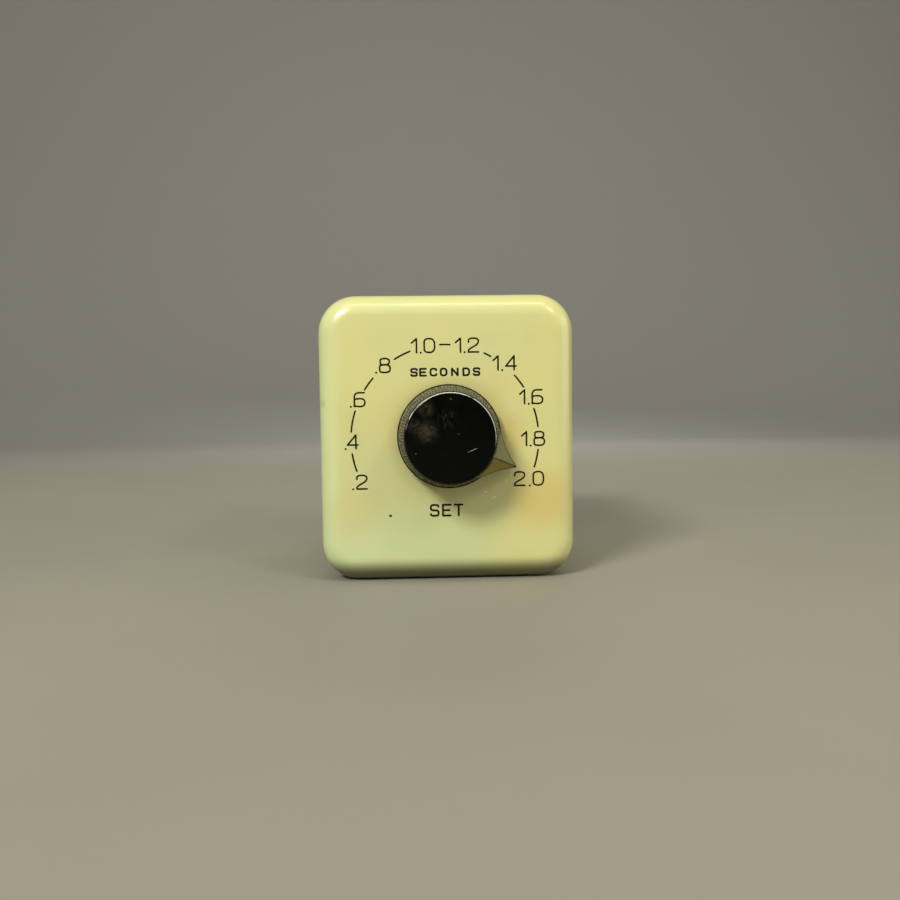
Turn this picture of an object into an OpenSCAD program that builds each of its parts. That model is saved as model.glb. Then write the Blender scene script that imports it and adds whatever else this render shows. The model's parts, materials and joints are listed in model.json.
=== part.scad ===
// Plug-in timer module with a front dial, in millimetres.
// Frame: +X right, +Y away from the front panel, +Z up. The origin is at the middle of the
// bounding box's bottom. Inside each module y is the depth behind the front panel's face,
// and x and z are measured from the middle of the panel.

/* [Case] */
// Width of the case
case_w = 47.6; // [44:0.2:52]
// Height of the case
case_h = 53.2; // [50:0.2:58]
// Depth from the front panel's face to the back of the base
case_d = 66; // [64:1:76]
// Radius of the case's four corners, seen from the front
corner_r = 7; // [6:0.5:9]
// Radius of the rounding along the front edge
front_r = 4; // [2:0.5:4.5]
// Thickness of the drawn cover
wall = 0.8; // [0.6:0.1:1]

/* [Knob] */
// Distance of the dial shaft to the right of the panel's middle
dial_x = 0.2; // [-1:0.1:1]
// Distance of the dial shaft above the panel's middle
dial_z = 0.45; // [-1:0.05:1]
// Diameter of the knob's skirt
skirt_d = 19.05; // [18:0.05:20]
// Diameter of the knob's fluted body at its front
knob_d = 16.6; // [15:0.1:17]
// Diameter of the knob's fluted body where it meets the skirt
knob_root_d = 18.1; // [17:0.1:18.4]
// Height of the knob's front face above the panel
knob_h = 8.8; // [8.4:0.1:10]
// Distance of the pointer's tip from the shaft
tip_r = 13.9; // [12.5:0.05:14.5]
// Angle of the pointer, clockwise from the top
pointer_angle = 116; // [100:1:130]
// Number of flutes round the knob
flutes = 100; // [60:2:120]

/* [Dial print] */
// Distance of the printed ring's middle to the right of the panel's middle
ring_x = -0.48; // [-1:0.01:1]
// Distance of the printed ring's middle above the panel's middle
ring_z = -0.1; // [-1:0.01:1]
// Radius of the ring that the dashes lie on
ring_r = 17.36; // [16.5:0.02:18]
// Width of a printed line
stroke = 0.3; // [0.2:0.01:0.4]
// Thickness of the printed ink
ink = 0.04; // [0.03:0.01:0.06]

/* [Plug] */
// Diameter of the circle that the plug pins stand on
pin_circle = 17.45; // [17:0.05:18]
// Diameter of a plug pin
pin_d = 2.36; // [2.2:0.02:2.5]
// Length of a plug pin outside the base
pin_l = 11.1; // [10:0.1:12]
// Diameter of the spigot
spigot_d = 7.92; // [7.6:0.02:8.2]
// Length of the spigot outside the base
spigot_l = 14.2; // [13:0.1:15]

/* [Inside] */
// Diameter of the potentiometer
pot_d = 23.8; // [20:0.1:24]
// Diameter of the dial shaft
shaft_d = 6.35; // [6:0.05:6.4]
// Height of the relay's armature above the pole when the relay is off
armature_gap = 1.2; // [1.2:0.05:1.5]

/* [Hidden] */
$fn = 48;

eps = 0.01;
mid_z = case_h / 2;
panel_y = knob_h - (knob_h + case_d + spigot_l) / 2;
shaft_r = shaft_d / 2;
shaft_clearance = 0.03;

// Cover and base
flange_t = 2.5;
cover_d = case_d - flange_t;
base_gap = 0.15;
rim_d = 6;
rim_front = cover_d - rim_d;
rim_wall = 2.5;
pin_floor = 60;
pin_root_r = 1;
pin_recess = [0.5, 0.02];
screw_d = 2.6;
cover_screw_zs = [-14, 14];
cover_screw_depth = cover_d - 3;

// Chassis bracket, folded from one strip
sheet = 1.2;
chassis_w = 30;
chassis_low = -22.4;
chassis_floor = chassis_low + sheet;
chassis_top = 13;
chassis_foot_top = -13.6;
chassis_screw_x = 9;
chassis_screw_z = -18;
lug_w = 6;
lug_top = -9;
lug_depths = [17, 46];
board_hole_z = -13;

// Dial control, stacked on the shaft behind the panel
pot_r = pot_d / 2;
bushing_r = 4.76;
bushing_front = -3.2;
washer_t = 0.4;
nut_t = 2;
nut_af = 12.7;
pot_plate = [2.5, 3.5];
can_back = 12.5;
can_wall = 0.5;
wafer = [3.5, 5];
track_r = [7.5, 10.5];
track_back = 5.08;
stop_half_angle = 35;
stop_r = 8.6;

// Circuit board, standing beside the relay with its components to the left
board_x = [-4, -2.4];
board_depth = [15, 54];
board_z = [-18, 22];
lead_r = 0.3;
filter_at = [26.5, 15.5];
film_at = [40.5, 17.5];
dropper_at = [32, -1.2];
driver_at = [48.7, -3.5];
varistor_at = [26, -9];
trimmer_at = [47, 8.5];
transistor_ats = [[17.8, 18.6], [51, 18.9]];
resistor_ats = [for (i = [0:4]) [31 + 3.5 * i, -11.5]];
diode_ats = [for (i = [0:3]) [30.5 + 3 * i, 6.5]];
lead_pitch = 2.5;
resistor_span = 10;
diode_span = 8;
film_span = 12.5;
dropper_span = 21;
LEADS = concat(
    [for (s = [-1, 1]) filter_at + [0, lead_pitch * s]],
    [for (s = [-1, 1]) film_at + [film_span / 2 * s, 0]],
    [for (s = [-1, 1]) dropper_at + [dropper_span / 2 * s, 0]],
    [for (s = [-1, 0, 1]) driver_at + [0, lead_pitch * s]],
    [for (s = [-1, 1]) varistor_at + [0, lead_pitch * s]],
    [for (s = [-1, 0, 1]) trimmer_at + [lead_pitch * s, s == 0 ? lead_pitch : -lead_pitch]],
    [for (at = transistor_ats, s = [-1, 0, 1]) at + [1.3 * s, s == 0 ? 1.3 : 0]],
    [for (at = resistor_ats, s = [-1, 1]) at + [0, resistor_span / 2 * s]],
    [for (at = diode_ats, s = [-1, 1]) at + [0, diode_span / 2 * s]]
);
BOARD_HOLES = [for (d = lug_depths) [d + lug_w / 2, board_hole_z]];
POT_PADS = [for (z = [-14, -11, -8]) [16.4, z]];
PIN_PADS = [for (i = [0:7]) [53, -14 + 4 * i]];
COIL_PADS = [[36.25, -16.9], [39.75, -16.9]];
CONTACT_PADS = [[19, 9.5], [19, 13.5], [19, 4.1], [19, -0.5]];

// Relay, standing on the chassis floor
relay_at = [10.5, 38, chassis_floor];
relay_screw_ys = [-13, 6];
yoke_t = 1.6;
yoke_w = 16;
yoke_back = 9.6;
pole_z = 25;
core_r = 3.2;
pole_r = 4.5;
flange_r = 7.5;
flange_z = [2, 23.6];
armature_z = pole_z + armature_gap;
armature_t = 1.5;
card_t = 1;
blade_z = armature_z + armature_t + card_t;
blade_t = 0.3;
blade_xs = [-5, 5];
contact_y = -15.5;
contact_r = 1.2;
contact_t = 0.6;
closed_drop = 1.7;
contact_gap = 0.3;
block_front = -22;
block_back = -19;
tail_front = -23.2;
spring_y = 12.4;
spring_low = 14;
spring_r = 1.5;
spring_wire_r = 0.25;
spring_turns = 9;

// Puts children in the case's own place: y is depth behind the panel, x and z from its middle
module placed() {
    translate([0, panel_y, mid_z]) children();
}

// The same, centred on the dial shaft
module on_shaft() {
    translate([dial_x, panel_y, mid_z + dial_z]) children();
}

// The same, from the foot of the relay
module on_relay() {
    placed() translate(relay_at) children();
}

// A box from its lowest corner to its highest
module block(low, high) {
    translate(low) cube(high - low);
}

// A round bar along y
module bar(r, from, to) {
    translate([0, from, 0]) rotate([-90, 0, 0]) cylinder(r = r, h = to - from);
}

// A tube along y
module tube(r_out, r_in, from, to) {
    difference() {
        bar(r_out, from, to);
        bar(r_in, from - eps, to + eps);
    }
}

// A round bar along x
module cross_bar(r, from, to) {
    translate([from, 0, 0]) rotate([0, 90, 0]) cylinder(r = r, h = to - from);
}

// A flat outline seen from the front, made solid from one depth to another
module slab(from, to) {
    translate([0, to, 0]) rotate([90, 0, 0]) linear_extrude(to - from) children();
}

module rounded_rect(w, h, r) {
    square([w - 2 * r, h], center = true);
    square([w, h - 2 * r], center = true);
    for (x = [-1, 1], y = [-1, 1])
        translate([x * (w / 2 - r), y * (h / 2 - r)]) circle(r);
}

// The case's outline, drawn in by a distance all round
module inset_rect(by) {
    rounded_rect(case_w - 2 * by, case_h - 2 * by, corner_r - by);
}

// A quarter round turned about a corner's centre, for the rounded front corners
module corner_round(r, edge) {
    rotate([-90, 0, 0]) rotate_extrude() union() {
        square([r - edge, edge]);
        intersection() {
            translate([r - edge, edge]) circle(edge);
            translate([r - edge, 0]) square([edge, edge]);
        }
    }
}

// A box with round corners and a rounded front edge, from one depth to another
module soft_box(w, h, r, edge, from, to) {
    slab(from + edge, to) rounded_rect(w, h, r);
    slab(from, to) rounded_rect(w - 2 * edge, h - 2 * edge, r - edge);
    for (s = [-1, 1]) {
        translate([-(w / 2 - r), from + edge, s * (h / 2 - edge)]) cross_bar(edge, 0, w - 2 * r);
        translate([s * (w / 2 - edge), from + edge, -(h / 2 - r)]) cylinder(r = edge, h = h - 2 * r);
        for (z = [-1, 1])
            translate([s * (w / 2 - r), from, z * (h / 2 - r)]) corner_round(r, edge);
    }
}

module case_cover() {
    color("#d3d08d") placed() difference() {
        soft_box(case_w, case_h, corner_r, front_r, 0, cover_d);
        soft_box(case_w - 2 * wall, case_h - 2 * wall, corner_r - wall, front_r - wall, wall, cover_d + 1);
        translate([dial_x, 0, dial_z]) bar(bushing_r + 0.1, -1, 2);
        for (z = cover_screw_zs)
            translate([0, cover_screw_depth, z]) cross_bar(screw_d / 2 + 0.1, -case_w, case_w);
    }
}

// One printed line with round ends
module line(a, b) {
    hull() {
        translate(a) circle(d = stroke, $fn = 8);
        translate(b) circle(d = stroke, $fn = 8);
    }
}

// Lines through a glyph's points; a glyph is one unit wide and one unit high
module strokes(points, size) {
    sized = [for (p = points) [p.x * size.x, p.y * size.y]];
    for (i = [0:len(points) - 2]) line(sized[i], sized[i + 1]);
}

ZERO = [[0.25, 0], [0.75, 0], [1, 0.2], [1, 0.8], [0.75, 1], [0.25, 1], [0, 0.8], [0, 0.2], [0.25, 0]];
TWO = [[0.02, 0.78], [0.25, 1], [0.75, 1], [1, 0.8], [1, 0.62], [0, 0.15], [0, 0], [1, 0]];
FOUR = [[0.86, 0], [0.86, 1], [0, 0.27], [1, 0.27]];
SIX = [
    [0.9, 1], [0.35, 1], [0, 0.75], [0, 0.2], [0.25, 0], [0.75, 0], [1, 0.2], [1, 0.38],
    [0.75, 0.57], [0.25, 0.57], [0, 0.4]
];
EIGHT = [
    [0.25, 0.53], [0.08, 0.68], [0.08, 0.85], [0.28, 1], [0.72, 1], [0.92, 0.85], [0.92, 0.68],
    [0.75, 0.53], [0.25, 0.53], [0, 0.36], [0, 0.17], [0.25, 0], [0.75, 0], [1, 0.17],
    [1, 0.36], [0.75, 0.53]
];
ONE = [[0, 0.72], [0.38, 1], [0.38, 0]];
DIGITS = [ZERO, ONE, TWO, [], FOUR, [], SIX, [], EIGHT];

// A numeral: the digit before the point, the digit after it and their left and bottom edges
NUMERALS = [
    [-1, 2, [-17.13, -9.28]], [-1, 4, [-18.65, -1.81]], [-1, 6, [-17.24, 5.94]],
    [-1, 8, [-12.49, 12.13]], [1, 0, [-4.27, 15.68]], [1, 2, [3.8, 15.68]], [1, 4, [10.65, 12.34]],
    [1, 6, [15.56, 6.05]], [1, 8, [15.86, -1.69]], [2, 0, [15.64, -9.12]]
];
digit_size = [1.92, 2.55];
point_gap = 0.65;
one_gap = 2.1;
two_gap = 3.5;

module numeral(whole, tenth, at) {
    translate(at + [stroke / 2, stroke / 2]) {
        strokes(DIGITS[tenth], digit_size);
        translate([-point_gap - stroke / 2, 0]) circle(d = stroke * 1.25, $fn = 8);
        if (whole == 1) translate([-one_gap, 0]) strokes(DIGITS[1], digit_size);
        if (whole == 2) translate([-two_gap, 0]) strokes(DIGITS[2], digit_size);
    }
}

// The dashes between the numerals: where each one starts and ends, clockwise from the top
DASHES = [
    [-109.2, -98.3], [-84.9, -72], [-57.7, -49.2], [-31.7, -21.3], [-2.5, 3.5], [25.3, 29.5],
    [48.3, 57.1], [71.9, 83.2], [97.5, 108.3]
];
function on_ring(a) = [ring_x + ring_r * sin(a), ring_z + ring_r * cos(a)];

// Capitals for the two words, one unit wide and one unit high
LETTER_S = [
    [1, 0.85], [0.75, 1], [0.25, 1], [0, 0.85], [0, 0.65], [0.25, 0.52], [0.75, 0.48],
    [1, 0.35], [1, 0.15], [0.75, 0], [0.25, 0], [0, 0.15]
];
LETTER_E = [[1, 1], [0, 1], [0, 0.5], [0.8, 0.5], [0, 0.5], [0, 0], [1, 0]];
LETTER_C = [[1, 0.82], [0.72, 1], [0.28, 1], [0, 0.78], [0, 0.22], [0.28, 0], [0.72, 0], [1, 0.18]];
LETTER_O = [
    [0.28, 0], [0.72, 0], [1, 0.22], [1, 0.78], [0.72, 1], [0.28, 1], [0, 0.78], [0, 0.22], [0.28, 0]
];
LETTER_N = [[0, 0], [0, 1], [1, 0], [1, 1]];
LETTER_D = [[0, 0], [0, 1], [0.65, 1], [1, 0.75], [1, 0.25], [0.65, 0], [0, 0]];
LETTER_T = [[0, 1], [1, 1], [0.5, 1], [0.5, 0]];
SECONDS = [LETTER_S, LETTER_E, LETTER_C, LETTER_O, LETTER_N, LETTER_D, LETTER_S];
SET = [LETTER_S, LETTER_E, LETTER_T];

module word(letters, middle, pitch, size) {
    for (i = [0:len(letters) - 1])
        translate(middle + [pitch * (i - (len(letters) - 1) / 2) - size.x / 2, -size.y / 2])
            strokes(letters[i], size);
}

module dial_print() {
    color("#2a2420") placed() slab(-ink, 0) {
        for (n = NUMERALS) numeral(n[0], n[1], n[2]);
        for (d = DASHES) line(on_ring(d[0]), on_ring(d[1]));
        word(SECONDS, [-0.3, 12.23], 1.94, [1.05, 1.27]);
        word(SET, [-0.4, -13.35], 2.25, [1.4, 2.03]);
    }
}

// Where plug pin i stands, looking at the back; the key is at the bottom between two pins
function pin_at(i) = let (a = 22.5 + 45 * i) [pin_circle / 2 * sin(a), 0, -pin_circle / 2 * cos(a)];

// The two places where the chassis is screwed to the base
module at_chassis_screws() {
    for (s = [-1, 1]) translate([s * chassis_screw_x, 0, chassis_screw_z]) children();
}

module octal_base() {
    key_w = 2.1;
    key_r = 4.57;
    boss_r = 13;
    tip = 0.8;
    color("#3a2417") placed() difference() {
        union() {
            slab(cover_d, case_d) inset_rect(0);
            slab(rim_front, cover_d) difference() {
                inset_rect(wall + base_gap);
                inset_rect(wall + base_gap + rim_wall);
            }
            bar(boss_r, pin_floor, cover_d);
            at_chassis_screws() bar(3.2, rim_front, cover_d);
            bar(spigot_d / 2, case_d, case_d + spigot_l - tip);
            translate([0, case_d + spigot_l - tip, 0]) rotate([-90, 0, 0])
                cylinder(r1 = spigot_d / 2, r2 = spigot_d / 2 - tip, h = tip);
            block([-key_w / 2, case_d, -key_r], [key_w / 2, case_d + spigot_l - 1.6, 0]);
        }
        for (i = [0:7]) translate(pin_at(i)) {
            bar(pin_root_r, pin_floor - 1, case_d + 1);
            bar(pin_d / 2 + pin_recess[1], case_d - pin_recess[0], case_d + 1);
        }
        bar(2.4, pin_floor - 1, case_d + spigot_l - 3);
        at_chassis_screws() bar(screw_d / 2, rim_front - 1, cover_d - 0.5);
        for (z = cover_screw_zs)
            translate([0, cover_screw_depth, z]) cross_bar(screw_d / 2, -case_w, case_w);
    }
}

module octal_pins() {
    bore = 0.8;
    bore_end = pin_floor + 2.4;
    color("#c9b98a") placed() for (i = [0:7]) translate(pin_at(i)) difference() {
        union() {
            bar(pin_root_r, pin_floor - 0.8, case_d + 0.5);
            bar(pin_d / 2, case_d, case_d + pin_l - pin_d / 2);
            translate([0, case_d + pin_l - pin_d / 2, 0]) sphere(r = pin_d / 2);
        }
        bar(bore, pin_floor - 2, bore_end);
    }
}

// A slotted screw along +y: its head ends at y = 0 and its shank goes on behind it
module screw(length, head_r, head_t) {
    difference() {
        union() {
            bar(head_r, -head_t, 0);
            bar(screw_d / 2, 0, length);
        }
        block([-head_r, -head_t - 1, -0.3], [head_r, -head_t * 0.5, 0.3]);
    }
}

module cover_screws() {
    color("#a9a9a3") placed() for (s = [-1, 1], z = cover_screw_zs)
        translate([s * case_w / 2, cover_screw_depth, z]) rotate([0, 0, s * 90]) screw(3.3, 2.4, 1.3);
}

module chassis_bracket() {
    half = chassis_w / 2;
    color("#b7bab3") placed() difference() {
        union() {
            block([-half, wall, chassis_low], [half, wall + sheet, chassis_top]);
            block([-half, wall, chassis_low], [half, rim_front, chassis_floor]);
            block([-half, rim_front - sheet, chassis_low], [half, rim_front, chassis_foot_top]);
            for (d = lug_depths) block([-sheet / 2, d, chassis_low], [sheet / 2, d + lug_w, lug_top]);
        }
        translate([dial_x, 0, dial_z]) bar(bushing_r + 0.1, -1, 5);
        at_chassis_screws() bar(screw_d / 2 + 0.2, rim_front - 3, rim_front + 1);
        for (h = BOARD_HOLES) translate([0, h[0], h[1]]) cross_bar(screw_d / 2 + 0.1, -5, 5);
        for (y = relay_screw_ys) translate(relay_at + [0, y, -5]) cylinder(d = screw_d + 0.2, h = 10);
    }
}

module chassis_screws() {
    color("#a9a9a3") placed() at_chassis_screws()
        translate([0, rim_front - sheet, 0]) screw(sheet + 5, 2.3, 1.3);
}

// The skirt's outline: a disc with a beak whose hollow sides are arcs tangent to the disc
module beaked_disc(r, tip, leaves = 30) {
    hollow_r = (r * r + tip * tip - 2 * tip * r * cos(leaves)) / (2 * (tip * cos(leaves) - r));
    circle(r);
    difference() {
        polygon([
            [0, 0], [r * cos(leaves), -r * sin(leaves)], [tip, 0], [r * cos(leaves), r * sin(leaves)]
        ]);
        for (s = [-1, 1])
            translate((r + hollow_r) * [cos(leaves), s * sin(leaves)]) circle(hollow_r, $fn = 96);
    }
}

skirt_low = 0.7;
skirt_high = 2;
shoulder_z = 2.25;
flute_depth = 0.14;
rim_bevel = 0.45;
skirt_step = 0.2;
ridge_h = 8;
insert_r = 5;
insert_low = 3.6;
insert_high = 7.5;
set_screw_angle = -90;
set_screw_h = 5.6;

// Turns children so that z is height in front of the panel and x points along the pointer
module on_knob() {
    on_shaft() rotate([90, 0, 0]) rotate(90 - pointer_angle) children();
}

module set_screw_axis() {
    rotate(set_screw_angle) translate([0, 0, set_screw_h]) rotate([0, 90, 0]) children();
}

module knob_body() {
    r = knob_d / 2;
    root_r = knob_root_d / 2;
    rim_r = r - flute_depth - 0.05;
    body_h = knob_h - rim_bevel - skirt_high;
    color("#15150f") on_knob() difference() {
        union() {
            translate([0, 0, skirt_low]) linear_extrude(skirt_high - skirt_low)
                beaked_disc(skirt_d / 2, tip_r);
            translate([0, 0, skirt_high])
                cylinder(r1 = skirt_d / 2, r2 = root_r + skirt_step, h = shoulder_z - skirt_high);
            translate([0, 0, skirt_high]) linear_extrude(body_h, scale = r / root_r) polygon([
                for (i = [0:2 * flutes - 1])
                    let (a = 180 * i / flutes, fr = root_r - (i % 2) * flute_depth) fr * [cos(a), sin(a)]
            ]);
            translate([0, 0, knob_h - rim_bevel])
                cylinder(r1 = rim_r, r2 = rim_r - rim_bevel, h = rim_bevel);
            hull() for (s = [-1, 1]) {
                translate([r - 0.5, s * 3.6, skirt_high - 0.5]) cube([0.1, 0.1, 0.4]);
                translate([r - 0.5, s * 0.1, ridge_h]) cube(0.1);
                translate([tip_r - 0.9, s * 0.05, skirt_high - 0.1]) cube(0.1);
            }
        }
        translate([0, 0, -1]) cylinder(r = 7.6, h = 4);
        translate([0, 0, -1]) cylinder(r = insert_r + 0.4, h = insert_low + 1);
        cylinder(r = insert_r, h = insert_high);
        set_screw_axis() cylinder(d = 3, h = knob_d);
    }
}

module knob_insert() {
    color("#b08d4a") on_knob() difference() {
        translate([0, 0, insert_low]) cylinder(r = insert_r, h = insert_high - insert_low);
        cylinder(r = shaft_r, h = insert_high + 1);
        set_screw_axis() cylinder(d = 3, h = knob_d);
    }
}

module knob_set_screw() {
    color("#8c8c86") on_knob() set_screw_axis() difference() {
        translate([0, 0, shaft_r]) cylinder(d = 3, h = 4);
        translate([-0.3, -2, shaft_r + 3]) cube([0.6, 4, 2]);
    }
}

module pot_shaft() {
    color("#bdb79b") on_shaft() bar(shaft_r, -(insert_high - 0.1), 9.6);
}

module pot_bushing() {
    color("#c4a763") on_shaft() difference() {
        union() {
            bar(bushing_r, bushing_front, pot_plate[0]);
            bar(pot_r, pot_plate[0], pot_plate[1]);
        }
        bar(shaft_r + shaft_clearance, bushing_front - 1, pot_plate[1] + 1);
    }
}

module pot_nut() {
    color("#b9bab4") on_shaft() difference() {
        translate([0, -washer_t, 0]) rotate([90, 0, 0])
            cylinder(r = nut_af / 2 / cos(30), h = nut_t, $fn = 6);
        bar(bushing_r, -5, 1);
    }
}

module pot_flat_washer() {
    color("#c3c4be") on_shaft() tube(7.1, bushing_r, -washer_t, 0);
}

module pot_lock_washer() {
    color("#8f908a") on_shaft() difference() {
        bar(7.2, wall + sheet, pot_plate[0]);
        bar(bushing_r, 0, 5);
        for (a = [0:30:330]) rotate([0, a, 0]) block([-0.4, 0, 0], [0.4, 5, 6]);
    }
}

module pot_can() {
    color("#a8a99c") on_shaft() {
        difference() {
            bar(pot_r, pot_plate[1], can_back);
            bar(pot_r - can_wall, 0, can_back - can_wall);
            block([-7, 0, -pot_r - 1], [7, 6.6, -8]);
        }
        translate([0, 0, stop_r]) bar(1, 7.2, can_back - can_wall + eps);
    }
}

module pot_wafer() {
    color("#7a4a22") on_shaft() tube(pot_r - can_wall, 5.2, wafer[0], wafer[1]);
}

// A wedge of the plane about the direction of -y, for the gaps in round parts
module wedge(half_angle) {
    edge = 20 * [sin(half_angle), -cos(half_angle)];
    polygon([[0, 0], [-edge.x, edge.y], edge]);
}

module pot_track() {
    color("#26221f") on_shaft() slab(wafer[1], track_back) difference() {
        circle(track_r[1]);
        circle(track_r[0]);
        wedge(30);
    }
}

module pot_terminals() {
    color("#c8c19e") on_shaft() for (x = [-5, 0, 5]) difference() {
        block([x - 1.1, wafer[1], -16.2], [x + 1.1, wafer[1] + 0.5, x == 0 ? -6.2 : -10.7]);
        translate([x, 0, -15]) bar(0.6, 0, 10);
    }
}

// Turns children with the dial: their +z points where the pointer points
module on_rotor() {
    on_shaft() rotate([0, pointer_angle, 0]) children();
}

// The rotor's stop lug meets the peg in the can at each end of the turn
module pot_rotor() {
    color("#5a3a20") on_rotor() difference() {
        union() {
            bar(6.5, 6.6, 8.6);
            slab(7.2, 8.6) intersection() {
                circle(9.2);
                wedge(stop_half_angle);
            }
        }
        bar(shaft_r, 0, 20);
    }
}

module pot_wiper() {
    color("#c98f4e") on_rotor() difference() {
        union() {
            bar(6.2, 6.2, 6.6);
            block([-0.8, 6.2, 4.5], [0.8, 6.6, 9.8]);
            block([-0.8, 5.2, 8.6], [0.8, 6.3, 9.4]);
        }
        bar(shaft_r, 0, 20);
    }
}

module pot_ring() {
    color("#9a9b95") on_shaft() tube(4.6, shaft_r, pot_plate[1] + 0.1, pot_plate[1] + 0.9);
}

// Places children at a point of the board: x is measured from its component side
module on_board(at) {
    placed() translate([board_x[0], at.x, at.y]) children();
}

module circuit_board() {
    color("#6f6a2c") placed() difference() {
        block([board_x[0], board_depth[0], board_z[0]], [board_x[1], board_depth[1], board_z[1]]);
        for (at = concat(LEADS, POT_PADS, PIN_PADS, COIL_PADS, CONTACT_PADS))
            translate([0, at.x, at.y]) cross_bar(lead_r, board_x[0] - 1, board_x[1] + 1);
        for (at = BOARD_HOLES)
            translate([0, at.x, at.y]) cross_bar(screw_d / 2 + 0.1, board_x[0] - 1, board_x[1] + 1);
    }
}

// A wire's bare end or a component's lead, through the board to just past its solder side
module lead(from) {
    cross_bar(lead_r, from, board_x[1] - board_x[0] + 0.7);
}

// A cone of solder round a lead
module joint_cone() {
    difference() {
        rotate([0, 90, 0]) cylinder(r1 = 0.75, r2 = 0.4, h = 0.6, $fn = 16);
        cross_bar(lead_r, -1, 2);
    }
}

module solder_joints() {
    board_t = board_x[1] - board_x[0];
    color("#c4c6c8") {
        for (at = concat(LEADS, POT_PADS)) on_board(at) translate([board_t, 0, 0]) joint_cone();
        for (at = concat(PIN_PADS, COIL_PADS, CONTACT_PADS)) on_board(at) mirror([1, 0, 0]) joint_cone();
    }
}

module board_spacers() {
    color("#a58b4e") placed() for (at = BOARD_HOLES) translate([0, at.x, at.y]) difference() {
        cross_bar(2.3, board_x[1], -sheet / 2);
        cross_bar(screw_d / 2, -10, 10);
    }
}

module board_screws() {
    color("#a9a9a3") for (at = BOARD_HOLES) on_board(at) rotate([0, 0, -90]) screw(7, 2.3, 1.3);
}

module board_nuts() {
    color("#9fa09a") placed() for (at = BOARD_HOLES) translate([sheet / 2, at.x, at.y]) difference() {
        rotate([0, 90, 0]) cylinder(r = 2.7, h = 1.6, $fn = 6);
        cross_bar(screw_d / 2, -10, 10);
    }
}

module filter_capacitor() {
    color("#2b4a7c") on_board(filter_at) {
        difference() {
            cross_bar(5, -12.3, -0.3);
            translate([-10.4, 0, 0]) rotate([0, 90, 0]) rotate_extrude() translate([5.1, 0]) circle(0.5);
            for (a = [0, 90]) rotate([a, 0, 0]) block([-13, -3, -0.2], [-12.1, 3, 0.2]);
        }
        for (s = [-1, 1]) translate([0, 0, lead_pitch * s]) lead(-0.4);
    }
}

module timing_capacitor() {
    color("#b3562a") on_board(film_at) {
        translate([-0.3, 0, 0]) rotate([0, -90, 0]) linear_extrude(11) rounded_rect(6, 15, 1);
        for (s = [-1, 1]) translate([0, film_span / 2 * s, 0]) lead(-0.4);
    }
}

module dropper_resistor() {
    color("#d9d4c2") on_board(dropper_at) {
        translate([-3.6, -9, 0]) bar(3.2, 0, 18);
        for (s = [-1, 1]) {
            translate([-3.6, s > 0 ? 8.9 : -dropper_span / 2, 0]) bar(lead_r, 0, dropper_span / 2 - 8.9);
            translate([-3.6, dropper_span / 2 * s, 0]) sphere(lead_r);
            translate([0, dropper_span / 2 * s, 0]) lead(-3.6);
        }
    }
}

// A small part that lies along z on its two bent leads: body radius and length, span of the leads
module axial_part(r, length, span) {
    rise = r + 0.3;
    translate([-rise, 0, -length / 2]) cylinder(r = r, h = length);
    translate([-rise, 0, -span / 2]) cylinder(r = lead_r, h = span);
    for (s = [-1, 1]) {
        translate([-rise, 0, span / 2 * s]) sphere(lead_r);
        translate([0, 0, span / 2 * s]) lead(-rise);
    }
}

module small_resistors() {
    color("#b08a5a") for (at = resistor_ats) on_board(at) axial_part(1.15, 6.3, resistor_span);
}

module bridge_diodes() {
    color("#2c2c2e") for (at = diode_ats) on_board(at) axial_part(1.35, 5.2, diode_span);
}

module transistors() {
    color("#b4a876") for (at = transistor_ats) on_board(at) {
        cross_bar(2.35, -5.3, -1);
        cross_bar(2.8, -1.5, -1);
        for (s = [-1, 0, 1]) translate([0, 1.3 * s, s == 0 ? 1.3 : 0]) lead(-1.2);
    }
}

module relay_driver() {
    color("#3b3b3d") on_board(driver_at) {
        block([-12, -2.2, -4], [-3.5, 2.2, 4]);
        difference() {
            block([-16.4, 0.9, -4], [-11.9, 2.2, 4]);
            translate([-14.2, 0, 0]) bar(1.6, 0, 3);
        }
        for (s = [-1, 0, 1]) translate([0, 0, lead_pitch * s]) lead(-3.6);
    }
}

module surge_varistor() {
    color("#3f6f9a") on_board(varistor_at) {
        translate([-5.3, 0, 0]) bar(4.5, -1.7, 1.7);
        for (s = [-1, 1]) translate([0, 0, lead_pitch * s]) lead(-2);
    }
}

trimmer_h = 4.2;
trimmer_rotor_r = 2.1;

module trimmer_body() {
    color("#2f5f8f") on_board(trimmer_at) {
        difference() {
            block([-trimmer_h, -4, -4], [-0.3, 4, 4]);
            cross_bar(trimmer_rotor_r + 0.1, -trimmer_h - 1, -trimmer_h + 1.6);
        }
        for (s = [-1, 0, 1])
            translate([0, lead_pitch * s, s == 0 ? lead_pitch : -lead_pitch]) lead(-0.4);
    }
}

module trimmer_rotor() {
    color("#e2dfd2") on_board(trimmer_at) difference() {
        cross_bar(trimmer_rotor_r, -trimmer_h - 0.4, -trimmer_h + 1.5);
        block([-trimmer_h - 1, -2.5, -0.3], [-trimmer_h + 0.3, 2.5, 0.3]);
    }
}

module relay_yoke() {
    half = yoke_w / 2;
    color("#8d8f8a") on_relay() difference() {
        union() {
            block([-half, block_front, 0], [half, yoke_back, yoke_t]);
            block([-half, yoke_back - yoke_t, 0], [half, yoke_back, armature_z - 0.4]);
            block([-2, yoke_back - eps, spring_low - 1.6], [2, spring_y + 2, spring_low]);
        }
        translate([0, 0, -1]) cylinder(r = 2, h = 5);
        for (y = relay_screw_ys) translate([0, y, -1]) cylinder(d = screw_d, h = 5);
    }
}

module relay_core() {
    color("#a3a5a0") on_relay() {
        cylinder(r = 2, h = yoke_t + 1);
        translate([0, 0, yoke_t]) cylinder(r = core_r, h = pole_z - yoke_t - 0.5);
        translate([0, 0, pole_z - 1]) cylinder(r = pole_r, h = 1);
    }
}

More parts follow.
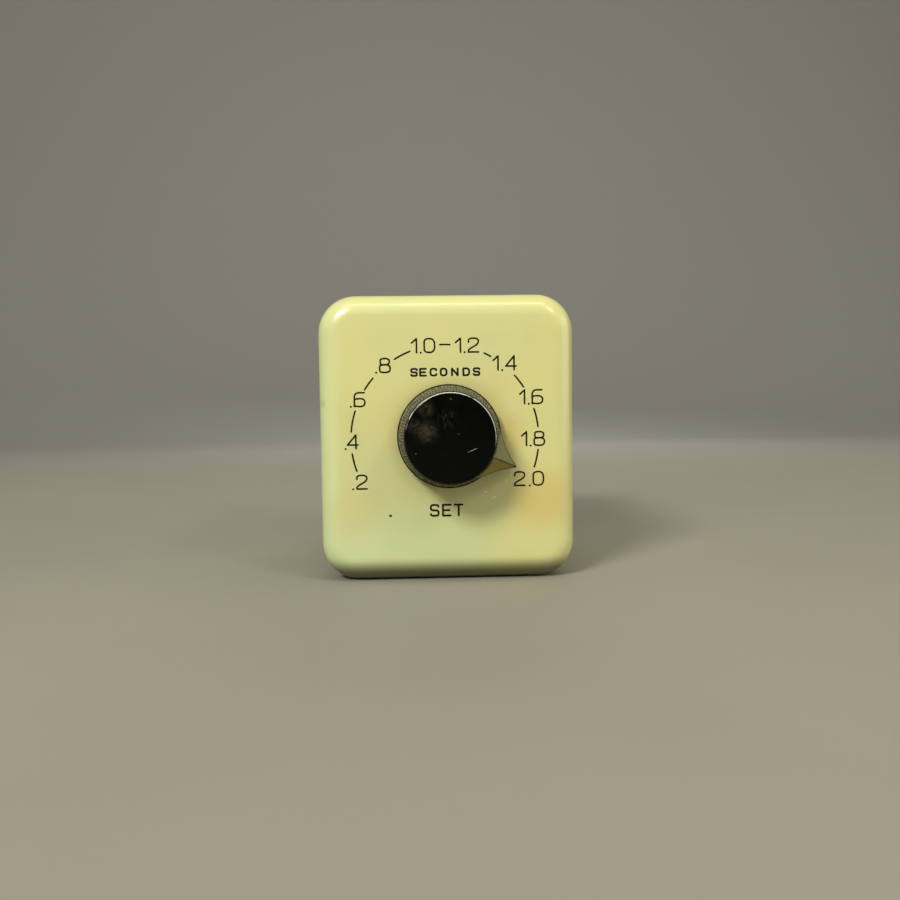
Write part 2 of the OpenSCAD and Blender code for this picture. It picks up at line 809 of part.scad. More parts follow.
module relay_bobbin() {
    color("#e8e3d0") on_relay() difference() {
        union() {
            for (z = [flange_z[0], flange_z[1] - 1]) translate([0, 0, z]) cylinder(r = flange_r, h = 1);
            translate([0, 0, flange_z[0]]) cylinder(r = core_r + 1, h = flange_z[1] - flange_z[0]);
        }
        cylinder(r = core_r, h = pole_z);
    }
}

module relay_coil() {
    color("#9c4a24") on_relay() translate([0, 0, flange_z[0] + 1]) difference() {
        cylinder(r = flange_r - 0.6, h = flange_z[1] - flange_z[0] - 2);
        translate([0, 0, -1]) cylinder(r = core_r + 1, h = pole_z);
    }
}

module relay_armature() {
    color("#9b9d98") on_relay() {
        block([-7.5, -9, armature_z], [7.5, yoke_back, armature_z + armature_t]);
        block([-2.5, yoke_back - eps, armature_z], [2.5, spring_y + 1.8, armature_z + armature_t]);
    }
}

module relay_card() {
    color("#6b4424") on_relay() block([-7.5, -9, armature_z + armature_t], [7.5, -2.5, blade_z]);
}

module relay_blades() {
    color("#c88d4f") on_relay() for (x = blade_xs) {
        block([x - 1.5, contact_y - 1.6, blade_z], [x + 1.5, -3, blade_z + blade_t]);
        translate([x, contact_y, blade_z - contact_t]) cylinder(r = contact_r, h = blade_t + 2 * contact_t);
        translate([x, -5, blade_z]) cylinder(r = 0.8, h = 0.8);
    }
}

// The faces of a swept tube with closed ends: rings 0 to last, each with this many sides
function tube_faces(last, sides) = concat(
    [[for (k = [0:sides - 1]) k]],
    [for (i = [0:last - 1], k = [0:sides - 1]) let (n = (k + 1) % sides)
        [i * sides + k, (i + 1) * sides + k, (i + 1) * sides + n, i * sides + n]],
    [[for (k = [sides - 1:-1:0]) last * sides + k]]
);

// A closed coil spring: a round wire carried along a helix
module relay_spring() {
    sides = 8;
    steps = 16;
    rings = spring_turns * steps;
    height = armature_z - spring_low - 2 * spring_wire_r;
    function ring(i) = let (a = 360 * i / steps, z = spring_low + spring_wire_r + height * i / rings)
        [for (k = [0:sides - 1]) let (b = 360 * k / sides, r = spring_r + spring_wire_r * cos(b))
            [r * cos(a), r * sin(a), z + spring_wire_r * sin(b)]];
    color("#b9bcb8") on_relay() translate([0, spring_y, 0])
        polyhedron([for (i = [0:rings]) each ring(i)], tube_faces(rings, sides));
}

fixed_blade_t = 0.4;
closed_z = blade_z + blade_t + contact_t + contact_gap;
open_z = blade_z - contact_t - closed_drop - contact_gap;

// A stiff blade that starts as a solder tail in front of the terminal block
module fixed_blade(x, z) {
    block([x - 1.5, tail_front, z], [x + 1.5, contact_y + 1.5, z + fixed_blade_t]);
}

module relay_fixed_contacts() {
    color("#c9a46a") on_relay() for (x = blade_xs) {
        translate([x, contact_y, closed_z]) cylinder(r = contact_r, h = contact_t);
        fixed_blade(x, closed_z + contact_t);
        translate([x, contact_y, open_z - contact_t]) cylinder(r = contact_r, h = contact_t);
        fixed_blade(x, open_z - contact_t - fixed_blade_t);
    }
}

module relay_terminal_block() {
    color("#4a2f1b") on_relay() difference() {
        block([-7, block_front, yoke_t], [7, block_back, closed_z + 3]);
        for (x = blade_xs, z = [closed_z + contact_t, open_z - contact_t - fixed_blade_t])
            block([x - 1.5, block_front - 1, z], [x + 1.5, block_back + 1, z + fixed_blade_t]);
        for (y = relay_screw_ys) translate([0, y, 0]) cylinder(d = screw_d, h = 4);
    }
}

module relay_screws() {
    color("#a9a9a3") on_relay() for (y = relay_screw_ys)
        translate([0, y, -sheet]) rotate([90, 0, 0]) screw(sheet + yoke_t, 2.2, 1.3);
}

// A covered wire swept through a list of points, with an eight-sided ring at each
module wire(points, r = 0.45) {
    sides = 8;
    last = len(points) - 1;
    aside = [0.31, 0.22, 0.93];
    function unit(v) = v / norm(v);
    function heading(i) = unit(
        (i > 0 ? unit(points[i] - points[i - 1]) : [0, 0, 0])
        + (i < last ? unit(points[i + 1] - points[i]) : [0, 0, 0])
    );
    function ring(i) = let (t = heading(i), u = unit(cross(aside, t)), v = cross(t, u))
        [for (k = [0:sides - 1]) points[i] + r * (cos(360 * k / sides) * u + sin(360 * k / sides) * v)];
    polyhedron([for (i = [0:last]) each ring(i)], tube_faces(last, sides));
}

// The bare end of a wire in its hole in the board
module bare_end(at) {
    on_board(at) cross_bar(lead_r, -0.7, board_x[1] - board_x[0] + 0.7);
}

module pot_leads() {
    color("#c23b2a") for (i = [0:2]) {
        x = dial_x + 5 * (i - 1);
        z = dial_z - 15;
        pad = POT_PADS[i];
        placed() wire([
            [x, wafer[1] + 0.5, z], [x, 13.2, z], [-6, 13.8, pad.y],
            [-6, pad.x, pad.y], [board_x[0], pad.x, pad.y]
        ]);
        bare_end(pad);
    }
}

module coil_leads() {
    color("#d9a21e") for (i = [0:1]) {
        pad = COIL_PADS[i];
        placed() wire([
            [2.5 + 0.4 * i, 38 + 2.5 * i, -18.7], [0, pad.x, pad.y], [board_x[1], pad.x, pad.y]
        ], 0.35);
        bare_end(pad);
    }
}

module contact_leads() {
    tail_y = relay_at.y + tail_front - 0.45;
    tails = [for (x = blade_xs) relay_at.x + x];
    closed_wire_z = chassis_floor + closed_z + contact_t + 0.2;
    open_wire_z = chassis_floor + open_z - contact_t - 0.2;
    starts = [for (z = [closed_wire_z, open_wire_z], x = tails) [x, z]];
    color("#3e7d46") for (i = [0:3]) {
        pad = CONTACT_PADS[i];
        placed() wire([
            [starts[i].x, tail_y, starts[i].y], [starts[i].x, tail_y, pad.y], [0, tail_y, pad.y],
            [0, pad.x, pad.y], [board_x[1], pad.x, pad.y]
        ]);
        bare_end(pad);
    }
}

module pin_leads() {
    ORDER = [0, 7, 6, 1, 2, 5, 4, 3];
    color("#d8d3c4") for (i = [0:7]) {
        pad = PIN_PADS[i];
        p = pin_at(ORDER[i]);
        placed() wire([
            [board_x[1], pad.x, pad.y], [-1.2, pad.x, pad.y], [-1.2, 55, pad.y],
            [p.x, 57.8, p.z], [p.x, 60.4, p.z]
        ]);
        bare_end(pad);
    }
}

case_cover();
dial_print();
octal_base();
octal_pins();
cover_screws();
chassis_bracket();
chassis_screws();
knob_body();
knob_insert();
knob_set_screw();
pot_shaft();
pot_bushing();
pot_nut();
pot_flat_washer();
pot_lock_washer();
pot_can();
pot_wafer();
pot_track();
pot_terminals();
pot_rotor();
pot_wiper();
pot_ring();
circuit_board();
solder_joints();
board_spacers();
board_screws();
board_nuts();
filter_capacitor();
timing_capacitor();
dropper_resistor();
small_resistors();
bridge_diodes();
transistors();
relay_driver();
surge_varistor();
trimmer_body();
trimmer_rotor();
relay_yoke();
relay_core();
relay_bobbin();
relay_coil();
relay_armature();
relay_card();
relay_blades();
relay_spring();
relay_terminal_block();
relay_fixed_contacts();
relay_screws();
pot_leads();
coil_leads();
contact_leads();
pin_leads();
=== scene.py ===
# %% [markdown]
# # A plug-in timer with a front dial
# The object is a small module in a drawn steel case, painted cream. A black pointer knob sits in the
# middle of a printed dial, and an octal plug stands out of the back. The CAD frame is loaded first and
# stays as it is; every surface made here takes its place and its size from it.

# %% Load the frame
import json
import math

import bmesh
import bpy
import numpy as np
from mathutils import Matrix, Vector


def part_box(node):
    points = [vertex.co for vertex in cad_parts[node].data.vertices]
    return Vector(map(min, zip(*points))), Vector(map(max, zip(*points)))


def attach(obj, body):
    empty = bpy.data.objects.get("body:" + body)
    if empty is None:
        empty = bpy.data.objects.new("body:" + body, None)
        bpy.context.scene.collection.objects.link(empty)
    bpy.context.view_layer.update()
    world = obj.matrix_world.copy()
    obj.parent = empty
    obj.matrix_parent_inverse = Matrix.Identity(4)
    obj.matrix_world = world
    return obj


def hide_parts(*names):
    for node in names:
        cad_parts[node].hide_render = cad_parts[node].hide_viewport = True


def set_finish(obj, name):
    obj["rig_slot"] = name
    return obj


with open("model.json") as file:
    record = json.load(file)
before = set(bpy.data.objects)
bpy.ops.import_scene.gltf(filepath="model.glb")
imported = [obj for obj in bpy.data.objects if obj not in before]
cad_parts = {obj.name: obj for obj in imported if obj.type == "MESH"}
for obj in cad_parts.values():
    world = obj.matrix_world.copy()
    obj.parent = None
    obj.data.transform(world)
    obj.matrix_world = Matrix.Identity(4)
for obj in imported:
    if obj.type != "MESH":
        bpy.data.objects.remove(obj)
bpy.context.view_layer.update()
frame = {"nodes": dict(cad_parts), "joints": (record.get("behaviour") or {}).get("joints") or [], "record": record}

MM = 0.001
cover_low, cover_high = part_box("case_cover")
base_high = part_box("octal_base")[1]
knob_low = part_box("knob_body")[0]
hinge = {joint["name"]: joint for joint in frame["joints"]}
panel_y = cover_low.y / MM
cover_back = cover_high.y / MM
mid_z = (cover_low.z + cover_high.z) / 2 / MM
case_w = (cover_high.x - cover_low.x) / MM
case_h = (cover_high.z - cover_low.z) / MM
dial_x = hinge["dial_turn"]["pos_m"][0] / MM
dial_z = hinge["dial_turn"]["pos_m"][2] / MM
print("case", round(case_w, 2), "x", round(case_h, 2), "mm, front panel at y =", round(panel_y, 2))

# %% [markdown]
# ## The camera
# The viewer stands just above the middle of the dial, a hand's length away, and looks very slightly
# down and to the right. A 35 mm lens on a full-frame sensor is moderately wide, which from so near gives
# the knob its depth. The camera is placed from the middle of the panel, so it follows the case.

# %% Place the camera
CAMERA_PLACE = (-5.67, -161.44, 8.10)
CAMERA_AIM = (0.37, 0.0, -2.16)
CAMERA_ROLL = 0.77
LENS = 35.0
FULL_FRAME = 36.0
CLIP_START = 0.01


def from_panel(point):
    """A point given in millimetres from the middle of the panel's face, as a place in metres."""
    return Vector((point[0], panel_y + point[1], mid_z + point[2])) * MM


def camera_at(place, aim, roll_deg):
    """A camera at place that looks at aim: its back is the line from aim to place, its right is level
    and square to that, and both its right and its up are then turned by the roll."""
    back = (place - aim).normalized()
    level = Vector((0, 0, 1)).cross(back).normalized()
    upright = back.cross(level)
    roll = math.radians(roll_deg)
    up = upright * math.cos(roll) + level * math.sin(roll)
    right = up.cross(back)
    data = bpy.data.cameras.new("camera")
    data.lens, data.sensor_width = LENS, FULL_FRAME
    data.clip_start = CLIP_START
    camera = bpy.data.objects.new("camera", data)
    camera.matrix_world = Matrix.Translation(place) @ Matrix((right, up, back)).transposed().to_4x4()
    bpy.context.scene.collection.objects.link(camera)
    return camera


bpy.context.scene.camera = camera_at(from_panel(CAMERA_PLACE), from_panel(CAMERA_AIM), CAMERA_ROLL)
print("camera stands", round((from_panel(CAMERA_PLACE) - from_panel((0, 0, 0))).length, 3), "m away")

# %% [markdown]
# ## Surfaces from grids of points
# Nearly every piece here is a sheet of points in rows and columns: each row is one ring or one
# cross-section, worked out by a formula for all its points at once. The same few lines turn any such
# sheet into a mesh. Rings that shrink to a point are merged, which closes the poles.

# %% Turn grids into meshes
SHARP_DEG = 32
MERGE_M, TINY_M = 1e-7, 1e-8


def grid_faces(rows, columns, wrap_rows, wrap_columns):
    """Four-cornered faces of a grid: each point joins its right, lower-right and lower neighbours.
    A wrapped direction joins the last line to the first."""
    row = np.arange(rows if wrap_rows else rows - 1)
    column = np.arange(columns if wrap_columns else columns - 1)
    row, column = np.meshgrid(row, column, indexing="ij")
    below, beside = (row + 1) % rows, (column + 1) % columns
    corners = [(row, column), (row, beside), (below, beside), (below, column)]
    return np.stack([r * columns + c for r, c in corners], -1).reshape(-1, 4)


def build_object(name, sheets):
    """One closed or open surface from a list of (points in mm, wrap rows, wrap columns) sheets. Points
    that meet are merged and the faces are turned outwards."""
    points, faces, count = [], [], 0
    for sheet, wrap_rows, wrap_columns in sheets:
        rows, columns = sheet.shape[:2]
        faces.append(grid_faces(rows, columns, wrap_rows, wrap_columns) + count)
        points.append(sheet.reshape(-1, 3) * MM)
        count += rows * columns
    mesh = bpy.data.meshes.new(name)
    mesh.from_pydata(np.concatenate(points).tolist(), [], np.concatenate(faces).tolist())
    work = bmesh.new()
    work.from_mesh(mesh)
    bmesh.ops.remove_doubles(work, verts=work.verts, dist=MERGE_M)
    bmesh.ops.dissolve_degenerate(work, edges=work.edges, dist=TINY_M)
    bmesh.ops.recalc_face_normals(work, faces=work.faces)
    work.to_mesh(mesh)
    work.free()
    mesh.polygons.foreach_set("use_smooth", np.ones(len(mesh.polygons), bool))
    mesh.set_sharp_from_angle(angle=math.radians(SHARP_DEG))
    built = bpy.data.objects.new(name, mesh)
    bpy.context.scene.collection.objects.link(built)
    print(name, len(mesh.polygons), "faces")
    return built


def make_piece(name, sheets, body, slot):
    """A piece of the timer: it rides on a body and names the material slot that its finish comes from."""
    piece = build_object(name, sheets)
    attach(piece, body)
    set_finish(piece, slot)
    return piece


print("edges sharper than", SHARP_DEG, "degrees stay crisp")


# %% [markdown]
# ## Outlines of the case
# A cover of this kind is drawn from one flat blank of steel, so its corners are round both ways and its
# walls run straight back. Two outlines are enough to tell it: a rounded rectangle and the round hole for
# the shaft. Both are asked for by angle, so point number n of one lies opposite point n of the other.

# %% Draw the outlines
WALL = 0.8
CORNER_R = 7.0
FRONT_R = 4.0
LEAST_R, TINY = 0.05, 1e-9
AROUND = 384
around = np.linspace(0, 2 * math.pi, AROUND, endpoint=False)


def rounded_outline(inset, angle=around):
    """Where rays from the middle meet the case's outline drawn in by inset. A ray meets the upright
    side at a / |cos|, the level side at b / |sin|, or else the corner's circle, whose crossing is
    t = d.c + sqrt((d.c)^2 - |c|^2 + r^2) for the ray's direction d and the circle's middle c."""
    a, b = case_w / 2 - inset, case_h / 2 - inset
    r = max(CORNER_R - inset, LEAST_R)
    cos, sin = np.abs(np.cos(angle)), np.abs(np.sin(angle))
    to_side, to_top = a / np.maximum(cos, TINY), b / np.maximum(sin, TINY)
    along = cos * (a - r) + sin * (b - r)
    to_corner = along + np.sqrt(np.maximum(along**2 - (a - r) ** 2 - (b - r) ** 2 + r * r, 0))
    reach = np.where(to_side * sin <= b - r, to_side, np.where(to_top * cos <= a - r, to_top, to_corner))
    return np.stack([reach * np.cos(angle), reach * np.sin(angle)], -1)


def round_hole(r, angle=around):
    """A circle about the dial's shaft, seen from the middle of the panel."""
    return np.stack([r * np.cos(angle) + dial_x, r * np.sin(angle) + dial_z - mid_z], -1)


def ring(outline, depth):
    """An outline seen from the front, set at a depth behind the panel's face."""
    y = np.full(len(outline), panel_y + depth)
    return np.stack([outline[:, 0], y, outline[:, 1] + mid_z], -1)


print("outline reaches", np.round(rounded_outline(0).max(0), 2), "mm from the middle")

# %% [markdown]
# ## The case cover
# The metal has two sides and a lip, and one closed sheet of rings can say all of it. The rings start at
# the shaft's hole, spread into the rounded rectangle of the front, roll over the front edge, run to the
# back, and come home along the inside of the metal. Nothing has to be thickened or joined afterwards.

# %% Build the case cover
HOLE_R = 4.86
LIP_DEPTH, LIP_INSET = 0.3, 0.12


def front_rings(inner_hole, flat_inset, depth, count):
    """Rings that spread over the flat front: each is a mean of the hole and of the rectangle."""
    return [
        ring(round_hole(inner_hole) * (1 - t) + rounded_outline(flat_inset) * t, depth)
        for t in np.linspace(0, 1, count, endpoint=False)
    ]


def edge_rings(extra_inset, radius, depth, count):
    """Rings over the rounded front edge: at an angle a, inset r (1 - sin a), depth r (1 - cos a)."""
    return [
        ring(rounded_outline(extra_inset + radius * (1 - math.sin(a))), depth + radius * (1 - math.cos(a)))
        for a in np.linspace(0, math.pi / 2, count)
    ]


back = cover_back - panel_y
side_depths = np.linspace(FRONT_R, back - LIP_DEPTH, 12)[1:]
outside = front_rings(HOLE_R, FRONT_R, 0, 10) + edge_rings(0, FRONT_R, 0, 18)
outside += [ring(rounded_outline(0), d) for d in side_depths]
lip = [ring(rounded_outline(LIP_INSET), back), ring(rounded_outline(WALL - LIP_INSET), back)]
inside = [ring(rounded_outline(WALL), d) for d in side_depths[::-1]]
inside += edge_rings(WALL, FRONT_R - WALL, WALL, 10)[::-1]
inside += front_rings(HOLE_R, FRONT_R, WALL, 4)[::-1]
cover_sheet = (np.array(outside + lip + inside), True, True)
case_cover = make_piece("cover_shell", [cover_sheet], "housing", "cream_enamel")
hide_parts("case_cover")

# %% [markdown]
# ## Lines of printed ink
# The dial is screen printed, so each stroke is a low ridge of ink with round ends. A stroke is a line
# through a few corners. Each corner is rounded by a parabola that touches both its sides, which gives
# the soft shoulders of engraved lettering. A flat, slightly domed cross-section is then carried along.

# %% Sweep a stroke of ink
INK_H = 0.03
INK_SUNK = 0.005
END_STEPS = 5
across = np.array([-1, -0.97, -0.6, 0, 0.6, 0.97, 1])
lift = np.array([-INK_SUNK, INK_H * 0.55, INK_H * 0.92, INK_H, INK_H * 0.92, INK_H * 0.55, -INK_SUNK])


def soft_line(corners, radius, steps=8):
    """Points along a line whose inside corners p are replaced by (1-s)^2 a + 2 s (1-s) p + s^2 b, where
    a and b lie on the two sides, at most the radius and at most half a side away from p."""
    corners = np.array(corners, float)
    parts = [corners[:1]]
    s = np.linspace(0, 1, steps)[:, None]
    for before, p, after in zip(corners[:-2], corners[1:-1], corners[2:]):
        to_a, to_b = before - p, after - p
        a = p + to_a * min(0.5, radius / np.linalg.norm(to_a))
        b = p + to_b * min(0.5, radius / np.linalg.norm(to_b))
        parts.append((1 - s) ** 2 * a + 2 * s * (1 - s) * p + s**2 * b)
    return np.concatenate(parts + [corners[-1:]])


def closed_line(corners, radius):
    """A line that starts and ends in the middle of its last side, so that every corner is rounded."""
    middle = (np.array(corners[0], float) + np.array(corners[-1], float)) / 2
    return soft_line([middle, *corners, middle], radius)


def ink_stroke(line, width):
    """The cross-section carried along a line. Past each end the line goes on by w sin(a) while the
    half width falls as w cos(a), which makes a round end."""
    half = width / 2
    line = line[np.r_[True, np.linalg.norm(np.diff(line, axis=0), axis=1) > 1e-4]]
    heading = np.gradient(line, axis=0)
    heading /= np.linalg.norm(heading, axis=1)[:, None]
    turn = np.linspace(math.pi / 2, 0, END_STEPS + 1)[:-1]
    start = line[0] - heading[0] * half * np.sin(turn)[:, None]
    end = line[-1] + heading[-1] * half * np.sin(turn[::-1])[:, None]
    centre = np.concatenate([start, line, end])
    first, last = np.repeat(heading[:1], END_STEPS, 0), np.repeat(heading[-1:], END_STEPS, 0)
    heading = np.concatenate([first, heading, last])
    widths = np.concatenate([half * np.cos(turn), np.full(len(line), half), half * np.cos(turn[::-1])])
    aside = np.stack([-heading[:, 1], heading[:, 0]], -1)
    flat = centre[:, None, :] + (aside * widths[:, None])[:, None, :] * across[None, :, None]
    y = np.broadcast_to(panel_y - lift, flat.shape[:2])
    return np.stack([flat[..., 0], y, flat[..., 1] + mid_z], -1), False, True


print("the ink stands", INK_H, "mm proud of the enamel")


# %% [markdown]
# ## Numerals and capitals
# The figures are drawn the way an engraving machine draws them, as one even stroke. Each glyph is a
# list of lines in a box that is one unit wide and one unit high; the box's real size is a driving
# value. A line marked "loop" closes on itself, and one whose corners have no radius is drawn as
# separate strokes, whose round ends make the corners.

# %% Define the glyphs
GLYPHS = {
    "0": [("loop", 0.62, [(0, 0), (1, 0), (1, 1), (0, 1)])],
    "1": [("line", 0.0, [(-0.13, 0.7), (0.33, 1), (0.33, 0)])],
    "2": [("line", 0.5, [(0.03, 0.72), (0.08, 1), (0.97, 1), (1, 0.58), (0.03, 0.2), (0.03, 0)]),
          ("line", 0.0, [(0.03, 0.0), (1, 0)])],
    "4": [("line", 0.0, [(0.8, 0), (0.8, 1), (0, 0.27), (1, 0.27)])],
    "6": [("line", 0.6, [(0.93, 1), (0, 1), (0, 0.3), (0, 0)]),
          ("loop", 0.45, [(0, 0), (1, 0), (1, 0.57), (0, 0.57)])],
    "8": [("loop", 0.45, [(0.07, 0.55), (0.93, 0.55), (0.93, 1), (0.07, 1)]),
          ("loop", 0.45, [(0, 0), (1, 0), (1, 0.55), (0, 0.55)])],
    "S": [("line", 0.3, [(1, 0.84), (0.92, 1), (0, 1), (0, 0.52), (1, 0.48), (1, 0), (0.08, 0), (0, 0.16)])],
    "E": [("line", 0.0, [(1, 1), (0, 1), (0, 0), (1, 0)]), ("line", 0.0, [(0, 0.5), (0.85, 0.5)])],
    "C": [("line", 0.45, [(1, 0.78), (0.98, 1), (0, 1), (0, 0), (0.98, 0), (1, 0.22)])],
    "O": [("loop", 0.5, [(0, 0), (1, 0), (1, 1), (0, 1)])],
    "N": [("line", 0.0, [(0, 0), (0, 1), (1, 0), (1, 1)])],
    "D": [("loop", 0.06, [(0, 0), (0, 1), (0.7, 1), (1, 0.78), (1, 0.22), (0.7, 0)])],
    "T": [("line", 0.0, [(0, 1), (1, 1)]), ("line", 0.0, [(0.5, 1), (0.5, 0)])],
}
DOT_HALF = 0.01


def glyph(character, left, bottom, width, height, stroke):
    """The strokes of one character in a box whose sides are the middles of its outer strokes."""
    made = []
    for form, radius, corners in GLYPHS[character]:
        placed = np.array(corners) * (width, height) + (left, bottom)
        if form == "loop":
            made.append(ink_stroke(closed_line(placed, radius * width), stroke))
        elif radius:
            made.append(ink_stroke(soft_line(placed, radius * width), stroke))
        else:
            made += [ink_stroke(np.array(side), stroke) for side in zip(placed[:-1], placed[1:])]
    return made


def dot(x, z, width):
    """A full stop: a stroke so short that its two round ends meet."""
    return ink_stroke(np.array([(x - DOT_HALF, z), (x + DOT_HALF, z)]), width)


print(len(GLYPHS), "glyphs:", " ".join(GLYPHS))


# %% [markdown]
# ## The printed dial
# Ten numerals run clockwise from .2 to 2.0, with a dash between each two. The dashes lie on a ring
# whose middle is nearly a millimetre off the shaft, because the print and the hole were made in two
# operations. The short word under the knob is a plain instruction.

# %% Print the dial
RING_MIDDLE = np.array([-0.48, -0.10])
RING_R = 17.36
LINE_W = 0.32
FIGURE_W, FIGURE_H = 1.92, 2.53
POINT_GAP, ONE_GAP, TWO_GAP = 0.66, 2.06, 3.52
FOUR_TUCK = 0.3
POINT_DROP, POINT_GROWTH = 0.03, 1.15
NUMERALS = [
    ("", "2", -17.13, -9.28), ("", "4", -18.65, -1.81), ("", "6", -17.24, 5.94), ("", "8", -12.49, 12.13),
    ("1", "0", -4.27, 15.68), ("1", "2", 3.80, 15.68), ("1", "4", 10.70, 12.34), ("1", "6", 15.56, 6.05),
    ("1", "8", 15.86, -1.69), ("2", "0", 15.64, -9.12),
]
DASHES = [
    (-109.2, -98.3), (-84.9, -72.0), (-57.7, -49.2), (-31.7, -21.3), (-2.5, 3.5), (25.3, 29.5),
    (48.3, 57.1), (71.9, 83.2), (97.5, 108.3),
]


def numeral(whole, tenth, left, bottom):
    """A figure, its decimal point to the left of it, and the whole number to the left of the point."""
    x, z = left + LINE_W / 2, bottom + LINE_W / 2
    gap = POINT_GAP if whole or tenth != "4" else POINT_GAP - FOUR_TUCK
    made = glyph(tenth, x, z, FIGURE_W, FIGURE_H, LINE_W)
    made.append(dot(x - gap, z - POINT_DROP, LINE_W * POINT_GROWTH))
    if whole:
        made += glyph(whole, x - (ONE_GAP if whole == "1" else TWO_GAP), z, FIGURE_W, FIGURE_H, LINE_W)
    return made


def dash(first_deg, last_deg):
    """A stroke along the ring, at angles counted clockwise from the top."""
    angle = np.radians(np.linspace(first_deg, last_deg, 6))
    return ink_stroke(RING_MIDDLE + RING_R * np.stack([np.sin(angle), np.cos(angle)], -1), LINE_W)


def word(text, middles, z, width, height, stroke):
    """Capitals whose middles are given one by one, as on a hand-spaced stencil."""
    left = [x - width / 2 for x in middles]
    return [s for c, x in zip(text, left) for s in glyph(c, x, z - height / 2, width, height, stroke)]


ink = [s for n in NUMERALS for s in numeral(*n)] + [dash(*d) for d in DASHES]
ink += word("SECONDS", (-6.05, -4.4, -2.5, -0.6, 1.45, 3.55, 5.45), 12.23, 1.05, 1.25, 0.36)
ink += word("SET", (-2.62, -0.38, 1.84), -13.35, 1.42, 2.0, 0.38)
dial_print = make_piece("dial_ink", ink, "housing", "dial_ink")
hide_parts("dial_print")

# %% [markdown]
# ## Outline and roof of the knob
# A moulded phenolic knob has a flat polished face, finely fluted sides that widen towards the panel,
# and a thin skirt drawn out into a beak. The beak's outline is two hollow arcs that leave the skirt's
# circle and meet at the tip, and its top is a small roof whose ridge falls to the tip. These formulas
# come first, because the rings of the knob and its finish both need them.

# %% Draw the knob
KNOB_H = panel_y - knob_low.y / MM
POINTER_DEG = 115.3
SKIRT_R, TIP_R = 9.525, 13.95
LEAVE = math.radians(34)
SKIRT_LOW, SKIRT_TOP = 0.7, 2.0
FACE_R, RIM_R = 7.63, 8.1
FRONT_SIDE_R, ROOT_R = 8.3, 9.05
FLUTES, FLUTE_DEPTH = 100, 0.15
RIDGE_FROM, RIDGE_START, RIDGE_FALL = 8.2, 7.9, 1.11
EDGE_DROP, TIP_SOFT, RIDGE_SOFT = 0.45, 0.014, 0.1
BODY_TOP = KNOB_H - EDGE_DROP
spin = np.linspace(-math.pi, math.pi, FLUTES * 10, endpoint=False)


def side_radius(z):
    """The fluted side is a cone: its radius falls evenly from the skirt up to the front."""
    return ROOT_R + (FRONT_SIDE_R - ROOT_R) * (z - SKIRT_TOP) / (BODY_TOP - SKIRT_TOP)


# The hollow's circle touches the skirt's circle where the beak leaves it, and passes through the tip.
HOLLOW_R = SKIRT_R**2 + TIP_R**2 - 2 * TIP_R * SKIRT_R * math.cos(LEAVE)
HOLLOW_R /= 2 * (TIP_R * math.cos(LEAVE) - SKIRT_R)
HOLLOW_X = (SKIRT_R + HOLLOW_R) * math.cos(LEAVE)
HOLLOW_Y = (SKIRT_R + HOLLOW_R) * math.sin(LEAVE)


def skirt_radius(angle):
    """The skirt's outline. Inside the beak a ray meets the hollow arc's circle, of middle c and radius
    q, at t = d.c - sqrt((d.c)^2 - |c|^2 + q^2). The angle is softened near nought to blunt the tip."""
    soft = np.sqrt(angle**2 + TIP_SOFT**2)
    towards = np.cos(soft) * HOLLOW_X + np.sin(soft) * HOLLOW_Y
    inner = np.maximum(towards**2 - HOLLOW_X**2 - HOLLOW_Y**2 + HOLLOW_R**2, 0)
    return np.where(soft < LEAVE, towards - np.sqrt(inner), SKIRT_R)


def roof(x, y):
    """Height of the beak's roof: the ridge falls along x, and to each side the roof falls in a straight
    line to the skirt's top at the beak's half width there."""
    half = HOLLOW_Y - np.sqrt(np.maximum(HOLLOW_R**2 - (x - HOLLOW_X) ** 2, 0))
    half = np.where(x < SKIRT_R * math.cos(LEAVE), SKIRT_R * math.sin(LEAVE), np.maximum(half, 0.05))
    ridge = np.clip(RIDGE_START - RIDGE_FALL * (x - RIDGE_FROM), SKIRT_TOP, RIDGE_START)
    share = np.clip(1 - np.sqrt(y**2 + RIDGE_SOFT**2) / half, 0, 1)
    return np.where(x > 0, SKIRT_TOP + (ridge - SKIRT_TOP) * share, SKIRT_TOP)


def polar(radius, z):
    """One ring of the knob: a radius and a height for every angle."""
    radius, z = np.broadcast_to(radius, spin.shape), np.broadcast_to(z, spin.shape)
    return np.stack([radius * np.cos(spin), radius * np.sin(spin), z], -1)


print("the beak's hollow arcs have a radius of", round(HOLLOW_R, 2), "mm")

# %% [markdown]
# ## The pointer knob
# With the formulas at hand the knob is one polar grid. Its rings run out over the face, round the edge,
# down the fluted side to wherever the roof or the skirt begins, out to the skirt's edge, and back
# through the hollow underside to the socket for the insert. The side's foot is found by going back and
# forth between the cone and the roof until they agree.

# %% Shape the knob
FOOT_RISE, FOOT_GAP, FOOT_PASSES = 0.22, 0.1, 12
EDGE_LIP, FLUTE_START = 0.04, 0.03
SKIRT_SOFT, SKIRT_DISH, SIDE_GAP = 0.14, 0.16, 0.04
SHALLOW, DEEPENING = 0.55, 4
UNDERSIDE = [(7.6, SKIRT_LOW), (7.6, 3.0), (5.4, 3.0), (5.4, 4.6), (5.02, 4.6), (5.02, 7.52), (0, 7.52)]
foot = np.full(spin.shape, SKIRT_TOP + FOOT_RISE)
for _ in range(FOOT_PASSES):
    here = side_radius(foot)
    foot = np.maximum(SKIRT_TOP + FOOT_RISE, roof(here * np.cos(spin), here * np.sin(spin)))
groove = FLUTE_DEPTH * (0.5 - 0.5 * np.cos(FLUTES * spin)) ** 0.8
outline = skirt_radius(spin)
rings = [polar(FACE_R * t, KNOB_H) for t in np.linspace(0, 1, 8)]
